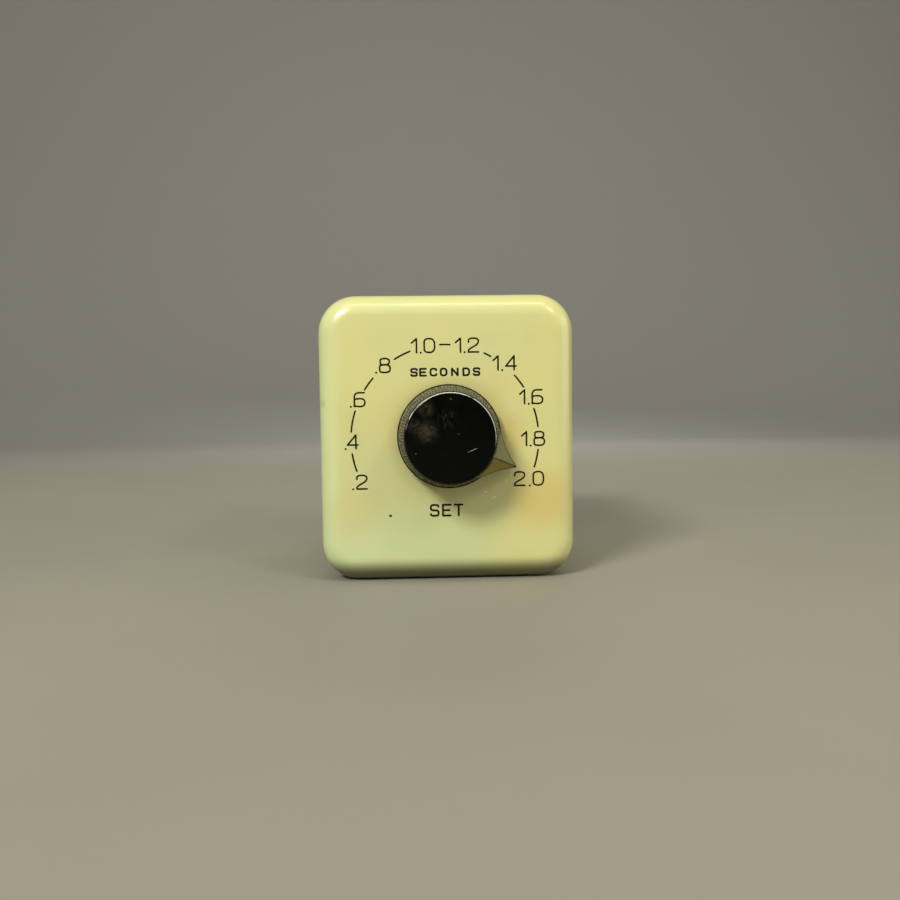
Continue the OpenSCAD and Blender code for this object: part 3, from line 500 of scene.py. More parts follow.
for a in np.linspace(0, math.pi / 2, 7)[1:]:
    edge_height = BODY_TOP + EDGE_LIP + (EDGE_DROP - EDGE_LIP) * math.cos(a)
    rings.append(polar(FACE_R + (RIM_R - FACE_R) * math.sin(a), edge_height))
for t in np.linspace(0, 1, 16):
    height = BODY_TOP - FLUTE_START + (foot + FOOT_GAP - BODY_TOP + FLUTE_START) * t
    rings.append(polar(side_radius(height) - groove * min(1, SHALLOW + DEEPENING * t), height))
for t in np.linspace(0, 1, 14):
    start = side_radius(foot) + SIDE_GAP
    radius = start + (outline - SKIRT_SOFT - start) * t
    dished = SKIRT_TOP + SKIRT_DISH * (1 - t) ** 2
    rings.append(polar(radius, np.maximum(roof(radius * np.cos(spin), radius * np.sin(spin)), dished)))
SKIRT_EDGE = [(0.04, SKIRT_TOP - 0.05), (0, SKIRT_TOP - 0.15), (0, SKIRT_LOW + 0.1), (0.1, SKIRT_LOW)]
rings += [polar(outline - inset, height) for inset, height in SKIRT_EDGE]
rings += [polar(radius, height) for radius, height in UNDERSIDE]
local = np.array(rings)
tilt = math.radians(90 - POINTER_DEG)
knob_points = np.stack([
    dial_x + local[..., 0] * math.cos(tilt) - local[..., 1] * math.sin(tilt),
    panel_y - local[..., 2],
    dial_z + local[..., 0] * math.sin(tilt) + local[..., 1] * math.cos(tilt),
], -1)
knob = make_piece("pointer_knob", [(knob_points, False, True)], "dial", "knob_phenolic")
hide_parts("knob_body")
print("flutes", FLUTES, "beak reaches", round(float(outline.max()), 2), "mm")

# %% [markdown]
# ## The set screw's hole
# A radial hole lets a screwdriver reach the set screw that grips the shaft. It crosses the flutes at a
# right angle to the pointer, so no ring follows its edge. A plain tube of points is made for it and
# taken away from the knob, which is how a drill would do it.

# %% Drill the set screw's hole
SCREW_HOLE_R, SCREW_HOLE_H = 1.5, 5.6
DRILL_FROM, FLARE_FROM, DRILL_TO, FLARE = 4.2, 8.2, 9.4, 0.3
drill_angle = tilt - math.pi / 2
bore = np.linspace(0, 2 * math.pi, 40, endpoint=False)
drill_profile = [(DRILL_FROM, 0), (DRILL_FROM, SCREW_HOLE_R), (FLARE_FROM, SCREW_HOLE_R)]
drill_profile += [(DRILL_TO, SCREW_HOLE_R + FLARE), (DRILL_TO, 0)]
reach, hole_r = np.array(drill_profile).T[:, :, None]
aside = hole_r * np.cos(bore)
drill = np.stack([
    dial_x + reach * math.cos(drill_angle) - aside * math.sin(drill_angle),
    panel_y - SCREW_HOLE_H - hole_r * np.sin(bore),
    dial_z + reach * math.sin(drill_angle) + aside * math.cos(drill_angle),
], -1)
cutter = build_object("drill", [(drill, False, True)])
cut = knob.modifiers.new("drilled", "BOOLEAN")
cut.operation, cut.solver, cut.object = "DIFFERENCE", "EXACT", cutter
bpy.context.view_layer.update()
drilled = bpy.data.meshes.new_from_object(knob.evaluated_get(bpy.context.evaluated_depsgraph_get()))
knob.modifiers.clear()
knob.data = drilled
bpy.data.objects.remove(cutter)
drilled.set_sharp_from_angle(angle=math.radians(SHARP_DEG))
print("knob with its hole has", len(drilled.polygons), "faces")

# %% [markdown]
# ## Sections of the base
# The base is one phenolic moulding: a flange that matches the cover's back, a rim that slips inside the
# cover, a round boss for the pins, and a keyed spigot. Its sections are circles, the case's own outline,
# and a circle with a key. Each is a function of the same angles, so any two can follow each other.

# %% Draw the base's sections
FLANGE_FRONT = cover_back - panel_y
BASE_BACK = FLANGE_FRONT + 2.5
SPIGOT_END = base_high.y / MM - panel_y
SPIGOT_R, KEY_REACH, KEY_HALF = 3.96, 4.57, 1.05


def round_ring(r, depth):
    """A circle about the plug's axis."""
    return ring(np.stack([r * np.cos(around), r * np.sin(around)], -1), depth)


def box_ring(inset, depth):
    """The case's outline, drawn in."""
    return ring(rounded_outline(inset), depth)


def keyed(grow=0.0):
    """The spigot's section: a circle, or the key's end or side wherever a downward ray reaches past it."""
    down = np.maximum(-np.sin(around), 1e-6)
    key = np.minimum((KEY_REACH + grow) / down, (KEY_HALF + grow) / np.maximum(np.abs(np.cos(around)), 1e-6))
    return np.maximum(SPIGOT_R + grow, np.where(np.sin(around) < 0, key, 0))


def back_face(outer_inset, inner, depth, count):
    """Rings that run in from the rounded rectangle to a circle across the flat back."""
    outer = rounded_outline(outer_inset)
    inside_edge = np.stack([inner * np.cos(around), inner * np.sin(around)], -1)
    return [ring(outer * (1 - t) + inside_edge * t, depth) for t in np.linspace(0, 1, count)]


print("base ends", round(BASE_BACK, 2), "mm behind the panel, spigot", round(SPIGOT_END, 2), "mm")

# %% [markdown]
# ## The moulded base
# The rings run from the hollow spigot out over the boss and the rim to the flange, round its edge, in
# across the back with its moulding line, and out again along the spigot to its rounded end. Insets are
# counted in from the case's outline, radii out from the plug's axis, and depths back from the panel.

# %% Mould the base
PIN_FLOOR, RIM_FRONT, BOSS_R = 60.0, 57.5, 13.0
RIM_OUT, RIM_IN = 0.95, 3.45
SPIGOT_HOLLOW_R, SPIGOT_END_WALL = 2.4, 3
SOFT, STEP = 0.3, 0.2
EDGE = 0.7
LINE_OUT, LINE_IN, LINE_DEPTH, LINE_SLOPE = 15.2, 14.2, 0.25, 0.2
KEY_END, KEY_BEVEL, TAPER, NOSE_R, NOSE_L = 2.0, 0.3, 0.02, 0.75, 0.85
quarter = np.linspace(0, math.pi / 2, 6)
hollow_end = SPIGOT_END - SPIGOT_END_WALL
boss = [(0, hollow_end), (SPIGOT_HOLLOW_R, hollow_end), (SPIGOT_HOLLOW_R, PIN_FLOOR + STEP)]
boss += [(SPIGOT_HOLLOW_R + STEP, PIN_FLOOR), (BOSS_R - SOFT, PIN_FLOOR), (BOSS_R, PIN_FLOOR + SOFT)]
boss += [(BOSS_R, FLANGE_FRONT)]
rim = [(RIM_IN, FLANGE_FRONT), (RIM_IN, RIM_FRONT + SOFT), (RIM_IN - SOFT, RIM_FRONT)]
rim += [(RIM_OUT + SOFT, RIM_FRONT), (RIM_OUT, RIM_FRONT + SOFT), (RIM_OUT, FLANGE_FRONT + 0.02)]
rim += [(STEP, FLANGE_FRONT + 0.02), (0, FLANGE_FRONT + STEP)]
rim += [(EDGE * (1 - math.cos(a)), BASE_BACK - EDGE * (1 - math.sin(a))) for a in quarter]
rows = [round_ring(r, depth) for r, depth in boss] + [box_ring(inset, depth) for inset, depth in rim]
rows += back_face(EDGE + STEP, LINE_OUT, BASE_BACK, 5)
line = [(LINE_OUT - LINE_SLOPE, LINE_DEPTH), (LINE_IN + LINE_SLOPE, LINE_DEPTH), (LINE_IN, 0)]
rows += [round_ring(r, BASE_BACK - depth) for r, depth in line]
root = [(0.35, 0), (0.08, 0.1), (0, 0.4)]
rows += [round_ring(keyed(grow), BASE_BACK + depth) for grow, depth in root]
rows += [round_ring(keyed(), SPIGOT_END - KEY_END), round_ring(keyed(-KEY_BEVEL), SPIGOT_END - 1.65)]
rows += [round_ring(SPIGOT_R - TAPER, SPIGOT_END - depth) for depth in (1.55, 0.9)]
rows += [
    round_ring(SPIGOT_R - NOSE_R * (1 - math.cos(a)), SPIGOT_END - NOSE_L * (1 - math.sin(a)))
    for a in quarter
]
rows += [round_ring(0, SPIGOT_END)]
octal_base = make_piece("moulded_base", [(np.array(rows), False, True)], "housing", "base_phenolic")
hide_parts("octal_base")

# %% [markdown]
# ## The plug's pins
# A plug pin is a drawn tube closed with a bead of solder, so each one is a profile turned about its own
# line: a cup inside the base, a straight shank, and a bead that is never quite the same twice. A sine of
# the pin's number gives each bead its own lean and roundness, and gives the same ones on every run.

# %% Turn the pins
PIN_CIRCLE_R, PIN_R, PINS = 8.725, 1.18, 8
PIN_END = BASE_BACK + 11.1
CUP_R, CUP_END, CUP_FRONT = 0.8, 62.4, 59.2
BEAD_L, LEAN_L = 1.18, 1.3
COLLAR = [(0.12, 0.02), (0.1, 0.35), (0, 0.45)]
turned = np.linspace(0, 2 * math.pi, 36, endpoint=False)


def plug_pin(index):
    """Rings along the pin: (radius, depth) pairs, turned about the pin's line. The bead's roundness and
    lean change with the pin's number."""
    lean = 0.12 * math.sin(2.4 * index + 1)
    bead = 1.0 + 0.12 * math.cos(3.1 * index)
    profile = [(0, CUP_END), (CUP_R, CUP_END), (CUP_R, CUP_FRONT + 0.1), (CUP_R + 0.1, CUP_FRONT)]
    profile += [(PIN_R - 0.1, CUP_FRONT), (PIN_R, CUP_FRONT + 0.1), (PIN_R, BASE_BACK)]
    profile += [(PIN_R + grow, BASE_BACK + depth) for grow, depth in COLLAR]
    profile += [(PIN_R, PIN_END - 1.9), (PIN_R - 0.03, PIN_END - 1.75)]
    profile += [
        (PIN_R * math.cos(a) ** bead, PIN_END - BEAD_L * (1 - math.sin(a)))
        for a in np.linspace(0.05, math.pi / 2, 9)
    ]
    r, depth = np.array(profile).T[:, :, None]
    angle = math.radians(360 / PINS * (index + 0.5))
    slip = np.clip((depth - PIN_END + LEAN_L) / LEAN_L, 0, 1) * lean
    x = PIN_CIRCLE_R * math.sin(angle) + r * np.cos(turned) + slip
    z = -PIN_CIRCLE_R * math.cos(angle) + r * np.sin(turned) + slip * 0.5
    return np.stack([x, panel_y + depth + 0 * x, z + mid_z], -1), False, True


pins = make_piece("plug_pins", [plug_pin(i) for i in range(PINS)], "housing", "pin_plating")
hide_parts("octal_pins")

# %% [markdown]
# ## The cover's screws
# The screws are low domes with a slot. A dome made of rings would need a cut across it, so this one is
# built from chords that run along the slot instead. The slot is then just the chords near the middle,
# set lower, and its edges stay straight and crisp.

# %% Turn the screws
SCREW_DEPTH = FLANGE_FRONT - 3
SCREWS = [(-1, -14, 0.5), (-1, 14, 2.1), (1, -14, 1.2), (1, 14, 2.7)]
HEAD_R, HEAD_RIM, DOME, SLOT, HALF_SLOT, SLOT_SOFT = 2.4, 0.35, 0.9, 0.75, 0.3, 0.03
CHORD_POINTS = 25
SHANK = [(0, 0.05), (1.28, 0.05), (1.28, -3.0), (1.0, -3.3), (0, -3.3)]


def slotted_head(side, height, slot_turn):
    """A domed head of radius R on the case's side. Chords at distance v from the middle have the half
    length sqrt(R^2 - v^2); each is closed underneath. The dome's height is h (1 - (r/R)^2) over a
    short rim, and the slot takes a flat channel out of the chords near the middle."""
    outer = np.cos(np.linspace(0, math.pi / 2, 14))[:-2] * HEAD_R
    slot_edges = [-HALF_SLOT - SLOT_SOFT, -HALF_SLOT, HALF_SLOT, HALF_SLOT + SLOT_SOFT]
    v = np.r_[-outer, slot_edges, outer[::-1]][:, None]
    s = np.sin(np.linspace(-math.pi / 2, math.pi / 2, CHORD_POINTS))[None, :]
    u = s * np.sqrt(np.maximum(HEAD_R * HEAD_R - v * v, 0))
    top = HEAD_RIM + DOME * (1 - (u**2 + v**2) / HEAD_R**2)
    top = np.where(np.abs(v) <= HALF_SLOT + 1e-6, np.minimum(top, HEAD_RIM + DOME - SLOT), top)
    u, v = np.concatenate([u, u[:, ::-1]], 1), np.repeat(v, 2 * CHORD_POINTS, 1)
    w = np.concatenate([top, 0 * top], 1)
    turned_u = u * math.cos(slot_turn) - v * math.sin(slot_turn)
    turned_v = u * math.sin(slot_turn) + v * math.cos(slot_turn)
    x = side * (case_w / 2 + w)
    return np.stack([x, panel_y + SCREW_DEPTH + turned_u, mid_z + height + turned_v], -1), False, True


def shank(side, height):
    """The plain stub that runs in from the head through the cover and the base's rim."""
    r, along = np.array(SHANK).T[:, :, None]
    y, z = panel_y + SCREW_DEPTH + r * np.cos(turned), mid_z + height + r * np.sin(turned)
    return np.stack([side * (case_w / 2 + along) + 0 * y, y, z], -1), False, True


heads = [slotted_head(*screw) for screw in SCREWS] + [shank(side, height) for side, height, _ in SCREWS]
screws = make_piece("cover_screw_heads", heads, "housing", "plated_steel")
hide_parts("cover_screws")

# %% [markdown]
# ## Sums on shader sockets
# Every finish is worked out by nodes. Linked by hand, a mask of five sums is five nodes, each with two
# sockets to fill. A small class lets the nodes' outputs be added, multiplied and so on like numbers, so
# a mask reads as an ordinary sum. The reflected forms let a number stand in front, as in 1 - mask.

# %% Let sockets do sums
class Value:
    """An output socket that does sums with numbers and with other sockets."""

    def __init__(self, shader, socket):
        self.shader, self.socket = shader, socket

    def __add__(self, other):
        return self.shader.math("ADD", self, other)

    def __sub__(self, other):
        return self.shader.math("SUBTRACT", self, other)

    def __rsub__(self, other):
        return self.shader.math("SUBTRACT", other, self)

    def __mul__(self, other):
        return self.shader.math("MULTIPLY", self, other)

    def __truediv__(self, other):
        return self.shader.math("DIVIDE", self, other)

    def __rtruediv__(self, other):
        return self.shader.math("DIVIDE", other, self)

    def __pow__(self, other):
        return self.shader.math("POWER", self, other)

    __radd__, __rmul__ = __add__, __mul__


print("sums on sockets: + - * / **")

# %% [markdown]
# ## One recipe book for every finish
# The same few steps come back in each finish: soft noise, a smooth step between two values, a spot or a
# scratch at a place on the panel, a mix of two colours, a bump. Each is a method with a plain name, so a
# finish reads as a recipe. All of them use one method that makes any node: it sets the node's choices
# first, because they decide which sockets exist, and then feeds each socket.

# %% Write the shader helpers
class Shader:
    """A material whose places are measured in millimetres from the middle of the panel's face."""

    def __init__(self, name):
        self.material = bpy.data.materials.new(name)
        self.material.use_nodes = True
        self.tree = self.material.node_tree
        self.surface = self.tree.nodes["Principled BSDF"]
        place = self.node("TexCoord", out="Object")
        panel = (0, panel_y * MM, mid_z * MM)
        place = self.node("VectorMath", {"operation": "SUBTRACT"}, {0: place, 1: panel})
        self.place = self.node("VectorMath", {"operation": "SCALE"}, {0: place, "Scale": 1 / MM})
        axes = (self.node("SeparateXYZ", {}, {0: self.place}, out=axis) for axis in "XYZ")
        self.x, self.y, self.z = axes

    def node(self, kind, settings=None, sockets=None, out=0):
        """A new node: its settings, then its sockets by name or number, and the output that is wanted."""
        made = self.tree.nodes.new("ShaderNode" + kind)
        for key, value in (settings or {}).items():
            setattr(made, key, value)
        for key, value in (sockets or {}).items():
            self.feed(made.inputs[key], value)
        return Value(self, made.outputs[out])

    def feed(self, socket, value):
        """Links a socket to a value, or sets it to a constant."""
        if isinstance(value, Value):
            self.tree.links.new(value.socket, socket)
        else:
            socket.default_value = value

    def math(self, operation, a, b=0.0):
        """One sum on two values or sockets."""
        return self.node("Math", {"operation": operation}, {0: a, 1: b})

    def noise(self, size, detail=3.0, rough=0.5, place=None):
        """Soft noise whose blobs are about size millimetres wide."""
        sockets = {"Vector": place or self.place, "Scale": 1 / size, "Detail": detail, "Roughness": rough}
        return self.node("TexNoise", {}, sockets)

    def step(self, value, start, end):
        """Nought below the start, one above the end, and smooth between."""
        mapped = {"Value": value, "From Min": start, "From Max": end}
        if end < start:
            mapped = {"Value": value, "From Min": end, "From Max": start, "To Min": 1.0, "To Max": 0.0}
        return self.node("MapRange", {"interpolation_type": "SMOOTHSTEP"}, mapped)

    def stretched(self, x, y, z):
        """The place with each direction divided by its own size, for streaks and scratches."""
        return self.node("VectorMath", {"operation": "MULTIPLY"}, {0: self.place, 1: (1 / x, 1 / y, 1 / z)})

    def far(self, x, z):
        """Distance across the panel from one spot on it."""
        return self.math("SQRT", (self.x - x) ** 2.0 + (self.z - z) ** 2.0)

    def spot(self, x, z, inner, outer):
        """One near a spot on the panel and nought beyond it."""
        return self.step(self.far(x, z), outer, inner)

    def scratch(self, start, end, width):
        """One on a short straight scratch between two spots on the panel, and nought off it."""
        (ax, az), (bx, bz) = start, end
        length = math.hypot(bx - ax, bz - az)
        ux, uz = (bx - ax) / length, (bz - az) / length
        along = (self.x - ax) * ux + (self.z - az) * uz
        off = self.math("ABSOLUTE", (self.z - az) * ux - (self.x - ax) * uz)
        ends = self.step(along, 0, width) * self.step(along, length, length - width)
        return self.step(off, width, width * 0.4) * ends

    def mix(self, share, a, b):
        """A colour that goes from a to b as the share goes from nought to one."""
        return self.node("Mix", {"data_type": "RGBA"}, {0: share, 6: a, 7: b}, out=2)

    def bump(self, height, distance):
        """A bump from a height between nought and one; the distance is in millimetres."""
        return self.node("Bump", {}, {"Height": height, "Distance": distance * MM, "Strength": 1.0})

    def finish(self, **sockets):
        """Feeds the surface's sockets, named in words, and gives the material."""
        for key, value in sockets.items():
            self.feed(self.surface.inputs[key.replace("_", " ").title().replace("Ior", "IOR")], value)
        return self.material


def rgb(red, green, blue):
    """A screen colour as linear light: c / 12.92 when dark, else ((c + 0.055) / 1.055) ** 2.4."""
    c = np.array([red, green, blue]) / 255
    return (*np.where(c <= 0.04045, c / 12.92, ((c + 0.055) / 1.055) ** 2.4).tolist(), 1.0)


print("mid grey in linear light is", round(rgb(128, 128, 128)[0], 3))

# %% [markdown]
# ## Enamel and ink
# Stoved enamel is glossy with a faint ripple, and an old one has yellowed unevenly, which a slow noise gives.
# Light and shade are painted into the colour as well. One noise could give patches anywhere, but the eye knows
# this panel by where they are, so broad steps across the panel and a few named patches carry the painted light and
# shade, and noise only softens them. The ink is thin and a little worn.

# %% Mix the enamel and the ink
# Spots of painted warm reflection on the enamel, as (x, z, size, share).
WARM_REFLECTIONS = [
    (17.5, -11.5, 8.5, 0.6), (11.6, 0.6, 5.0, 0.36), (-18.0, -14.0, 7.0, 0.22), (9.0, 9.5, 5.0, 0.12),
]
PALE_SCRATCHES = [((6.5, -10.2), (7.3, -9.9), 0.12), ((8.1, -11.3), (9.0, -10.8), 0.1)]
PIT = (-10.81, -14.23)
SCUFF = ((-23.2, 7.5), (-22.8, 5.9), 0.6)
finishes = {}


def cream_enamel():
    """Yellowed cream: random patches of greener and warmer cream, painted light and shade over them (warmer on the
    right, a pale highlight on the left edge, cooler low in the middle, warm reflections, the knob's shadow, a
    shaded bottom edge), an orange-peel ripple, and a few marks.
    """
    s = Shader("cream_enamel")
    patches = s.step(s.noise(26, 2), 0.4, 0.62)
    colour = s.mix(patches, rgb(214, 209, 141), rgb(207, 208, 146))
    # Painted light: the right side is warmed as a warm light from the right would warm it.
    colour = s.mix(s.step(s.x, 2, 20) * 0.4, colour, rgb(212, 208, 134))
    # Painted highlight: a pale greenish sheen along the rounded left edge.
    colour = s.mix(s.step(s.x, -18, -23) * 0.5, colour, rgb(206, 224, 168))
    # Painted light: a cooler, greener tint low in the middle of the panel.
    colour = s.mix(s.step(s.z, -9, -20) * s.step(s.x, 14, 2) * 0.7, colour, rgb(200, 213, 158))
    # Painted warm reflections, laid on as soft spots.
    for x, z, size, share in WARM_REFLECTIONS:
        colour = s.mix(s.spot(x, z, size * 0.2, size) * share, colour, rgb(206, 178, 98))
    grime = s.step(s.noise(7, 2), 0.5, 0.8)
    colour = s.mix(grime * 0.12, colour, rgb(190, 178, 108))
    # Painted shade: the front of the rounded bottom edge, which faces the floor, is darkened.
    bottom_edge_shade = s.step(s.z, -21.8, -25.2) * s.step(s.y, 9.0, 2.0)
    colour = s.mix(bottom_edge_shade * 0.9, colour, rgb(78, 80, 46))
    dust = s.step(s.noise(0.3, 2), 0.74, 0.8)
    colour = s.mix(dust * 0.25, colour, rgb(150, 138, 92))
    # Painted shadow of the knob: a soft, darker warm halo round it, a little to its right and below.
    shade = s.step(s.far(dial_x + 0.6, dial_z - mid_z - 0.8), 13.0, 9.6)
    colour = s.mix(shade * 0.35, colour, rgb(176, 158, 92))
    pit = s.spot(*PIT, 0.2, 0.34)
    scuff = s.scratch(*SCUFF) * s.step(s.noise(0.6, 3), 0.35, 0.65)
    colour = s.mix(scuff * 0.6, colour, rgb(112, 116, 72))
    colour = s.mix(pit, colour, rgb(40, 34, 22))
    pale = s.spot(10.75, -8.0, 0.08, 0.2)
    for place in PALE_SCRATCHES:
        pale = pale + s.scratch(*place)
    colour = s.mix(pale, colour, rgb(244, 240, 205))
    ripple = s.noise(2.2, 2) * 0.8 + s.noise(0.7, 2) * 0.2 - pit * 0.8
    gloss = 0.28 + dust * 0.1
    normal = s.bump(ripple, 0.01)
    return s.finish(base_color=colour, roughness=gloss, normal=normal, coat_weight=0.25, coat_roughness=0.16)


def dial_ink():
    """Dark brown ink, a touch thin in places."""
    s = Shader("dial_ink")
    thin = s.step(s.noise(0.25, 3), 0.52, 0.75)
    colour = s.mix(thin * 0.35, rgb(12, 9, 5), rgb(38, 31, 18))
    s.feed(s.surface.inputs["Specular IOR Level"], 0.2)
    return s.finish(base_color=colour, roughness=0.42 + thin * 0.2, normal=s.bump(s.noise(0.1, 2), 0.006))


finishes["cream_enamel"], finishes["dial_ink"] = cream_enamel(), dial_ink()
print("the enamel has", len(finishes["cream_enamel"].node_tree.nodes), "nodes")

# %% [markdown]
# ## Phenolic of the knob
# The knob's phenolic is nearly black and polished on its face, while its flutes and skirt hold grey-brown
# dust. One material tells the zones apart by the same formulas that shaped the knob: height for the face
# and the skirt, distance past the cone for the flutes, and the hollow's circle for the beak's edge. It
# turns with the knob, because Object coordinates belong to the piece.

# %% Mix the knob's phenolic
SMUDGES = [(-4.1, 1.6, 0.3, 2.8, 0.7), (-4.0, 5.6, 0.2, 2.0, 0.5), (-6.2, 2.6, 0.2, 1.8, 0.35)]
SPECKS = [(1.6, 1.2, 0.04, 0.14, 0.25), (-5.95, -2.2, 0.04, 0.13, 0.4), (0.3, 7.3, 0.05, 0.2, 0.3)]
SCRATCHES = [((3.05, -2.1), (4.9, -1.35), 0.055, 0.5), ((3.6, -1.87), (4.6, -1.46), 0.08, 0.6)]


def dusty_sides(s, height, out):
    """The colour of the flutes, the skirt and the beak: mottled dust, darker in the grooves and along the edges, a
    painted shadow at the skirt's outer edge, and the beak's two facets painted one lit and one shaded."""
    mottle = s.step(s.noise(0.55, 4, 0.65), 0.36, 0.66)
    dusty = s.mix(mottle, rgb(80, 79, 60), rgb(137, 134, 102))
    past_side = out - (height - SKIRT_TOP) * ((FRONT_SIDE_R - ROOT_R) / (BODY_TOP - SKIRT_TOP)) - ROOT_R
    on_side = s.step(past_side, 0.2, 0.08)
    from_x, from_z = s.x - dial_x, s.z - (dial_z - mid_z)
    angle = s.math("ARCTAN2", from_z, from_x) - tilt
    grooves = s.step(s.math("COSINE", angle * float(FLUTES)), 0.3, -0.5) * on_side
    dusty = s.mix(grooves * 0.4, dusty, rgb(34, 32, 23))
    clean = s.step(height, 7.4, 8.6) * (1 - s.step(s.noise(0.3, 2), 0.5, 0.6) * 0.6) * on_side
    dusty = s.mix(clean * 0.9, dusty, rgb(16, 16, 11))
    lowest = s.step(height, SKIRT_TOP - 0.05, SKIRT_TOP - 0.3)
    dusty = s.mix(lowest, dusty, rgb(22, 20, 14))
    tilt_x, tilt_z = math.cos(tilt), math.sin(tilt)
    along_beak = from_x * tilt_x + from_z * tilt_z
    beak = s.step(along_beak, 8.1, 8.5)
    # Painted shadow: a dark line along the skirt's outer edge, away from the beak.
    rim = s.step(out, 9.2, 9.33) * (1 - beak)
    dusty = s.mix(rim * 0.9, dusty, rgb(14, 13, 8))
    flats = beak * (1 - on_side) * (1 - lowest)
    across_beak = from_z * tilt_x - from_x * tilt_z
    # Painted light and shade on the beak: one facet in a lit tone, the other in a shaded tone, with a dark line
    # along the ridge.
    facet = s.mix(s.step(across_beak, -0.1, 0.1), rgb(150, 138, 70), rgb(116, 118, 80))
    facet = s.mix(s.step(s.math("ABSOLUTE", across_beak), 0.26, 0.06) * 0.75, facet, rgb(40, 36, 20))
    facet = s.mix(mottle * 0.3, facet, rgb(130, 128, 94))
    hollow = HOLLOW_Y - s.math("SQRT", s.math("MAXIMUM", HOLLOW_R**2 - (along_beak - HOLLOW_X) ** 2.0, 0.0))
    edge = s.step(s.math("ABSOLUTE", across_beak) - hollow, -0.32, -0.12)
    edge = edge + s.step(along_beak, 12.6, 13.6) * 0.5
    return s.mix(flats, dusty, s.mix(edge * 0.7, facet, rgb(42, 39, 25)))


def knob_phenolic():
    """Black and polished in front, dusty on the flutes and the skirt, with smudges on the face and a painted
    highlight along the upper part of its bevelled edge. The recipe works from the depth behind the panel, so the
    front face is where y is lowest."""
    s = Shader("knob_phenolic")
    height = s.y * -1
    out = s.far(dial_x, dial_z - mid_z)
    face = s.step(height, KNOB_H - 0.5, KNOB_H - 0.35)
    streak_noise = s.noise(0.35, 3, 0.6, s.stretched(1, 1, 4))
    streaks = s.spot(-0.3, 3.9, 0.3, 2.2) * s.step(streak_noise, 0.48, 0.66) * 0.5
    smudge = sum(s.spot(*place) * share for *place, share in SMUDGES)
    smudge = smudge * s.step(s.noise(0.9, 5, 0.65), 0.3, 0.68) + streaks
    specks = s.step(s.noise(0.22, 1), 0.76, 0.8) * 0.4
    specks = specks + sum(s.spot(*place) * share for *place, share in SPECKS)
    mark = sum(s.scratch(*place) * share for *place, share in SCRATCHES)
    film = s.step(s.noise(5, 3), 0.42, 0.75) * 0.25
    black = s.mix(smudge + film * 0.05, rgb(3, 4, 3), rgb(70, 66, 48))
    black = s.mix(specks + mark, black, rgb(150, 152, 138))
    # Painted highlight: a pale line on the upper part of the face's bevelled edge.
    bevel_highlight = s.step(out, 7.88, 7.96) * s.step(out, 8.09, 8.02) * s.step(s.z + s.x * 0.2, 0.0, 3.0)
    black = s.mix(bevel_highlight * s.step(s.noise(1.6, 2), 0.2, 0.5) * 0.85, black, rgb(224, 224, 208))
    colour = s.mix(face, dusty_sides(s, height, out), black)
    rough = face * (0.12 + smudge * 0.5 + film * 0.3) + (1 - face) * 0.72
    s.feed(s.surface.inputs["Specular IOR Level"], 0.1)
    grain = s.noise(0.4, 4, 0.6) * (1 - face * 0.92)
    return s.finish(base_color=colour, roughness=rough, normal=s.bump(grain, 0.06))


finishes["knob_phenolic"] = knob_phenolic()
print("the phenolic has", len(finishes["knob_phenolic"].node_tree.nodes), "nodes")

# %% [markdown]
# ## Families of finishes
# Metals, plastics and laminates differ mostly in colour, gloss and grain. A function for each family is
# enough, and every slot then names a family with its own numbers. Nothing is one flat colour: each has
# slow stains, fine grain and a bump that suits how the thing was made.

# %% Write the families
THREAD_PITCH = 0.7


def metal(name, light, dark, rough, grain=(1.2, 1.2, 1.2), stain=0.5):
    """Plated or bare metal: a tarnish that gathers in patches, over fine grain that may be drawn out."""
    s = Shader(name)
    tarnish = s.step(s.noise(5, 4, 0.6), 0.42, 0.72) * stain
    lines = s.noise(0.6, 3, 0.6, s.stretched(*grain))
    colour = s.mix(tarnish, rgb(*light), rgb(*dark))
    rough = rough + tarnish * 0.25 + lines * 0.1
    return s.finish(base_color=colour, metallic=1.0, roughness=rough, normal=s.bump(lines, 0.012))


def plastic(name, light, dark, rough, size=2.0, bump=0.02, coat=0.0):
    """Moulded, dipped or lacquered: two close colours in soft blobs, dust, and a slight unevenness."""
    s = Shader(name)
    blobs = s.step(s.noise(size, 4, 0.55), 0.35, 0.7)
    dust = s.step(s.noise(0.5, 4, 0.6), 0.6, 0.8) * 0.3
    colour = s.mix(dust, s.mix(blobs, rgb(*light), rgb(*dark)), rgb(150, 140, 115))
    normal = s.bump(s.noise(size * 0.4, 3), bump)
    return s.finish(base_color=colour, roughness=rough + dust * 0.4, coat_weight=coat, normal=normal)


def laminate(name, light, dark):
    """Woven board: two sets of threads show through the resin as a fine check."""
    s = Shader(name)
    threads = [s.math("SINE", axis * (2 * math.pi / THREAD_PITCH)) for axis in (s.y, s.z)]
    weave = threads[0] * threads[1] * 0.5 + 0.5
    colour = s.mix(weave * 0.5 + s.noise(6, 3) * 0.3, rgb(*light), rgb(*dark))
    return s.finish(base_color=colour, roughness=0.35 + weave * 0.15, normal=s.bump(weave, 0.01))


print("families: metal, plastic, laminate")

# %% [markdown]
# ## Two finishes of their own
# The base's moulding powder shows flecks of wood flour and the lines along which it flowed, and the coil
# shows the turns of its tape. Neither is blobs and dust, so each gets a recipe of its own.

# %% Mix the base's phenolic and the coil's tape
TURN_W = 4.6


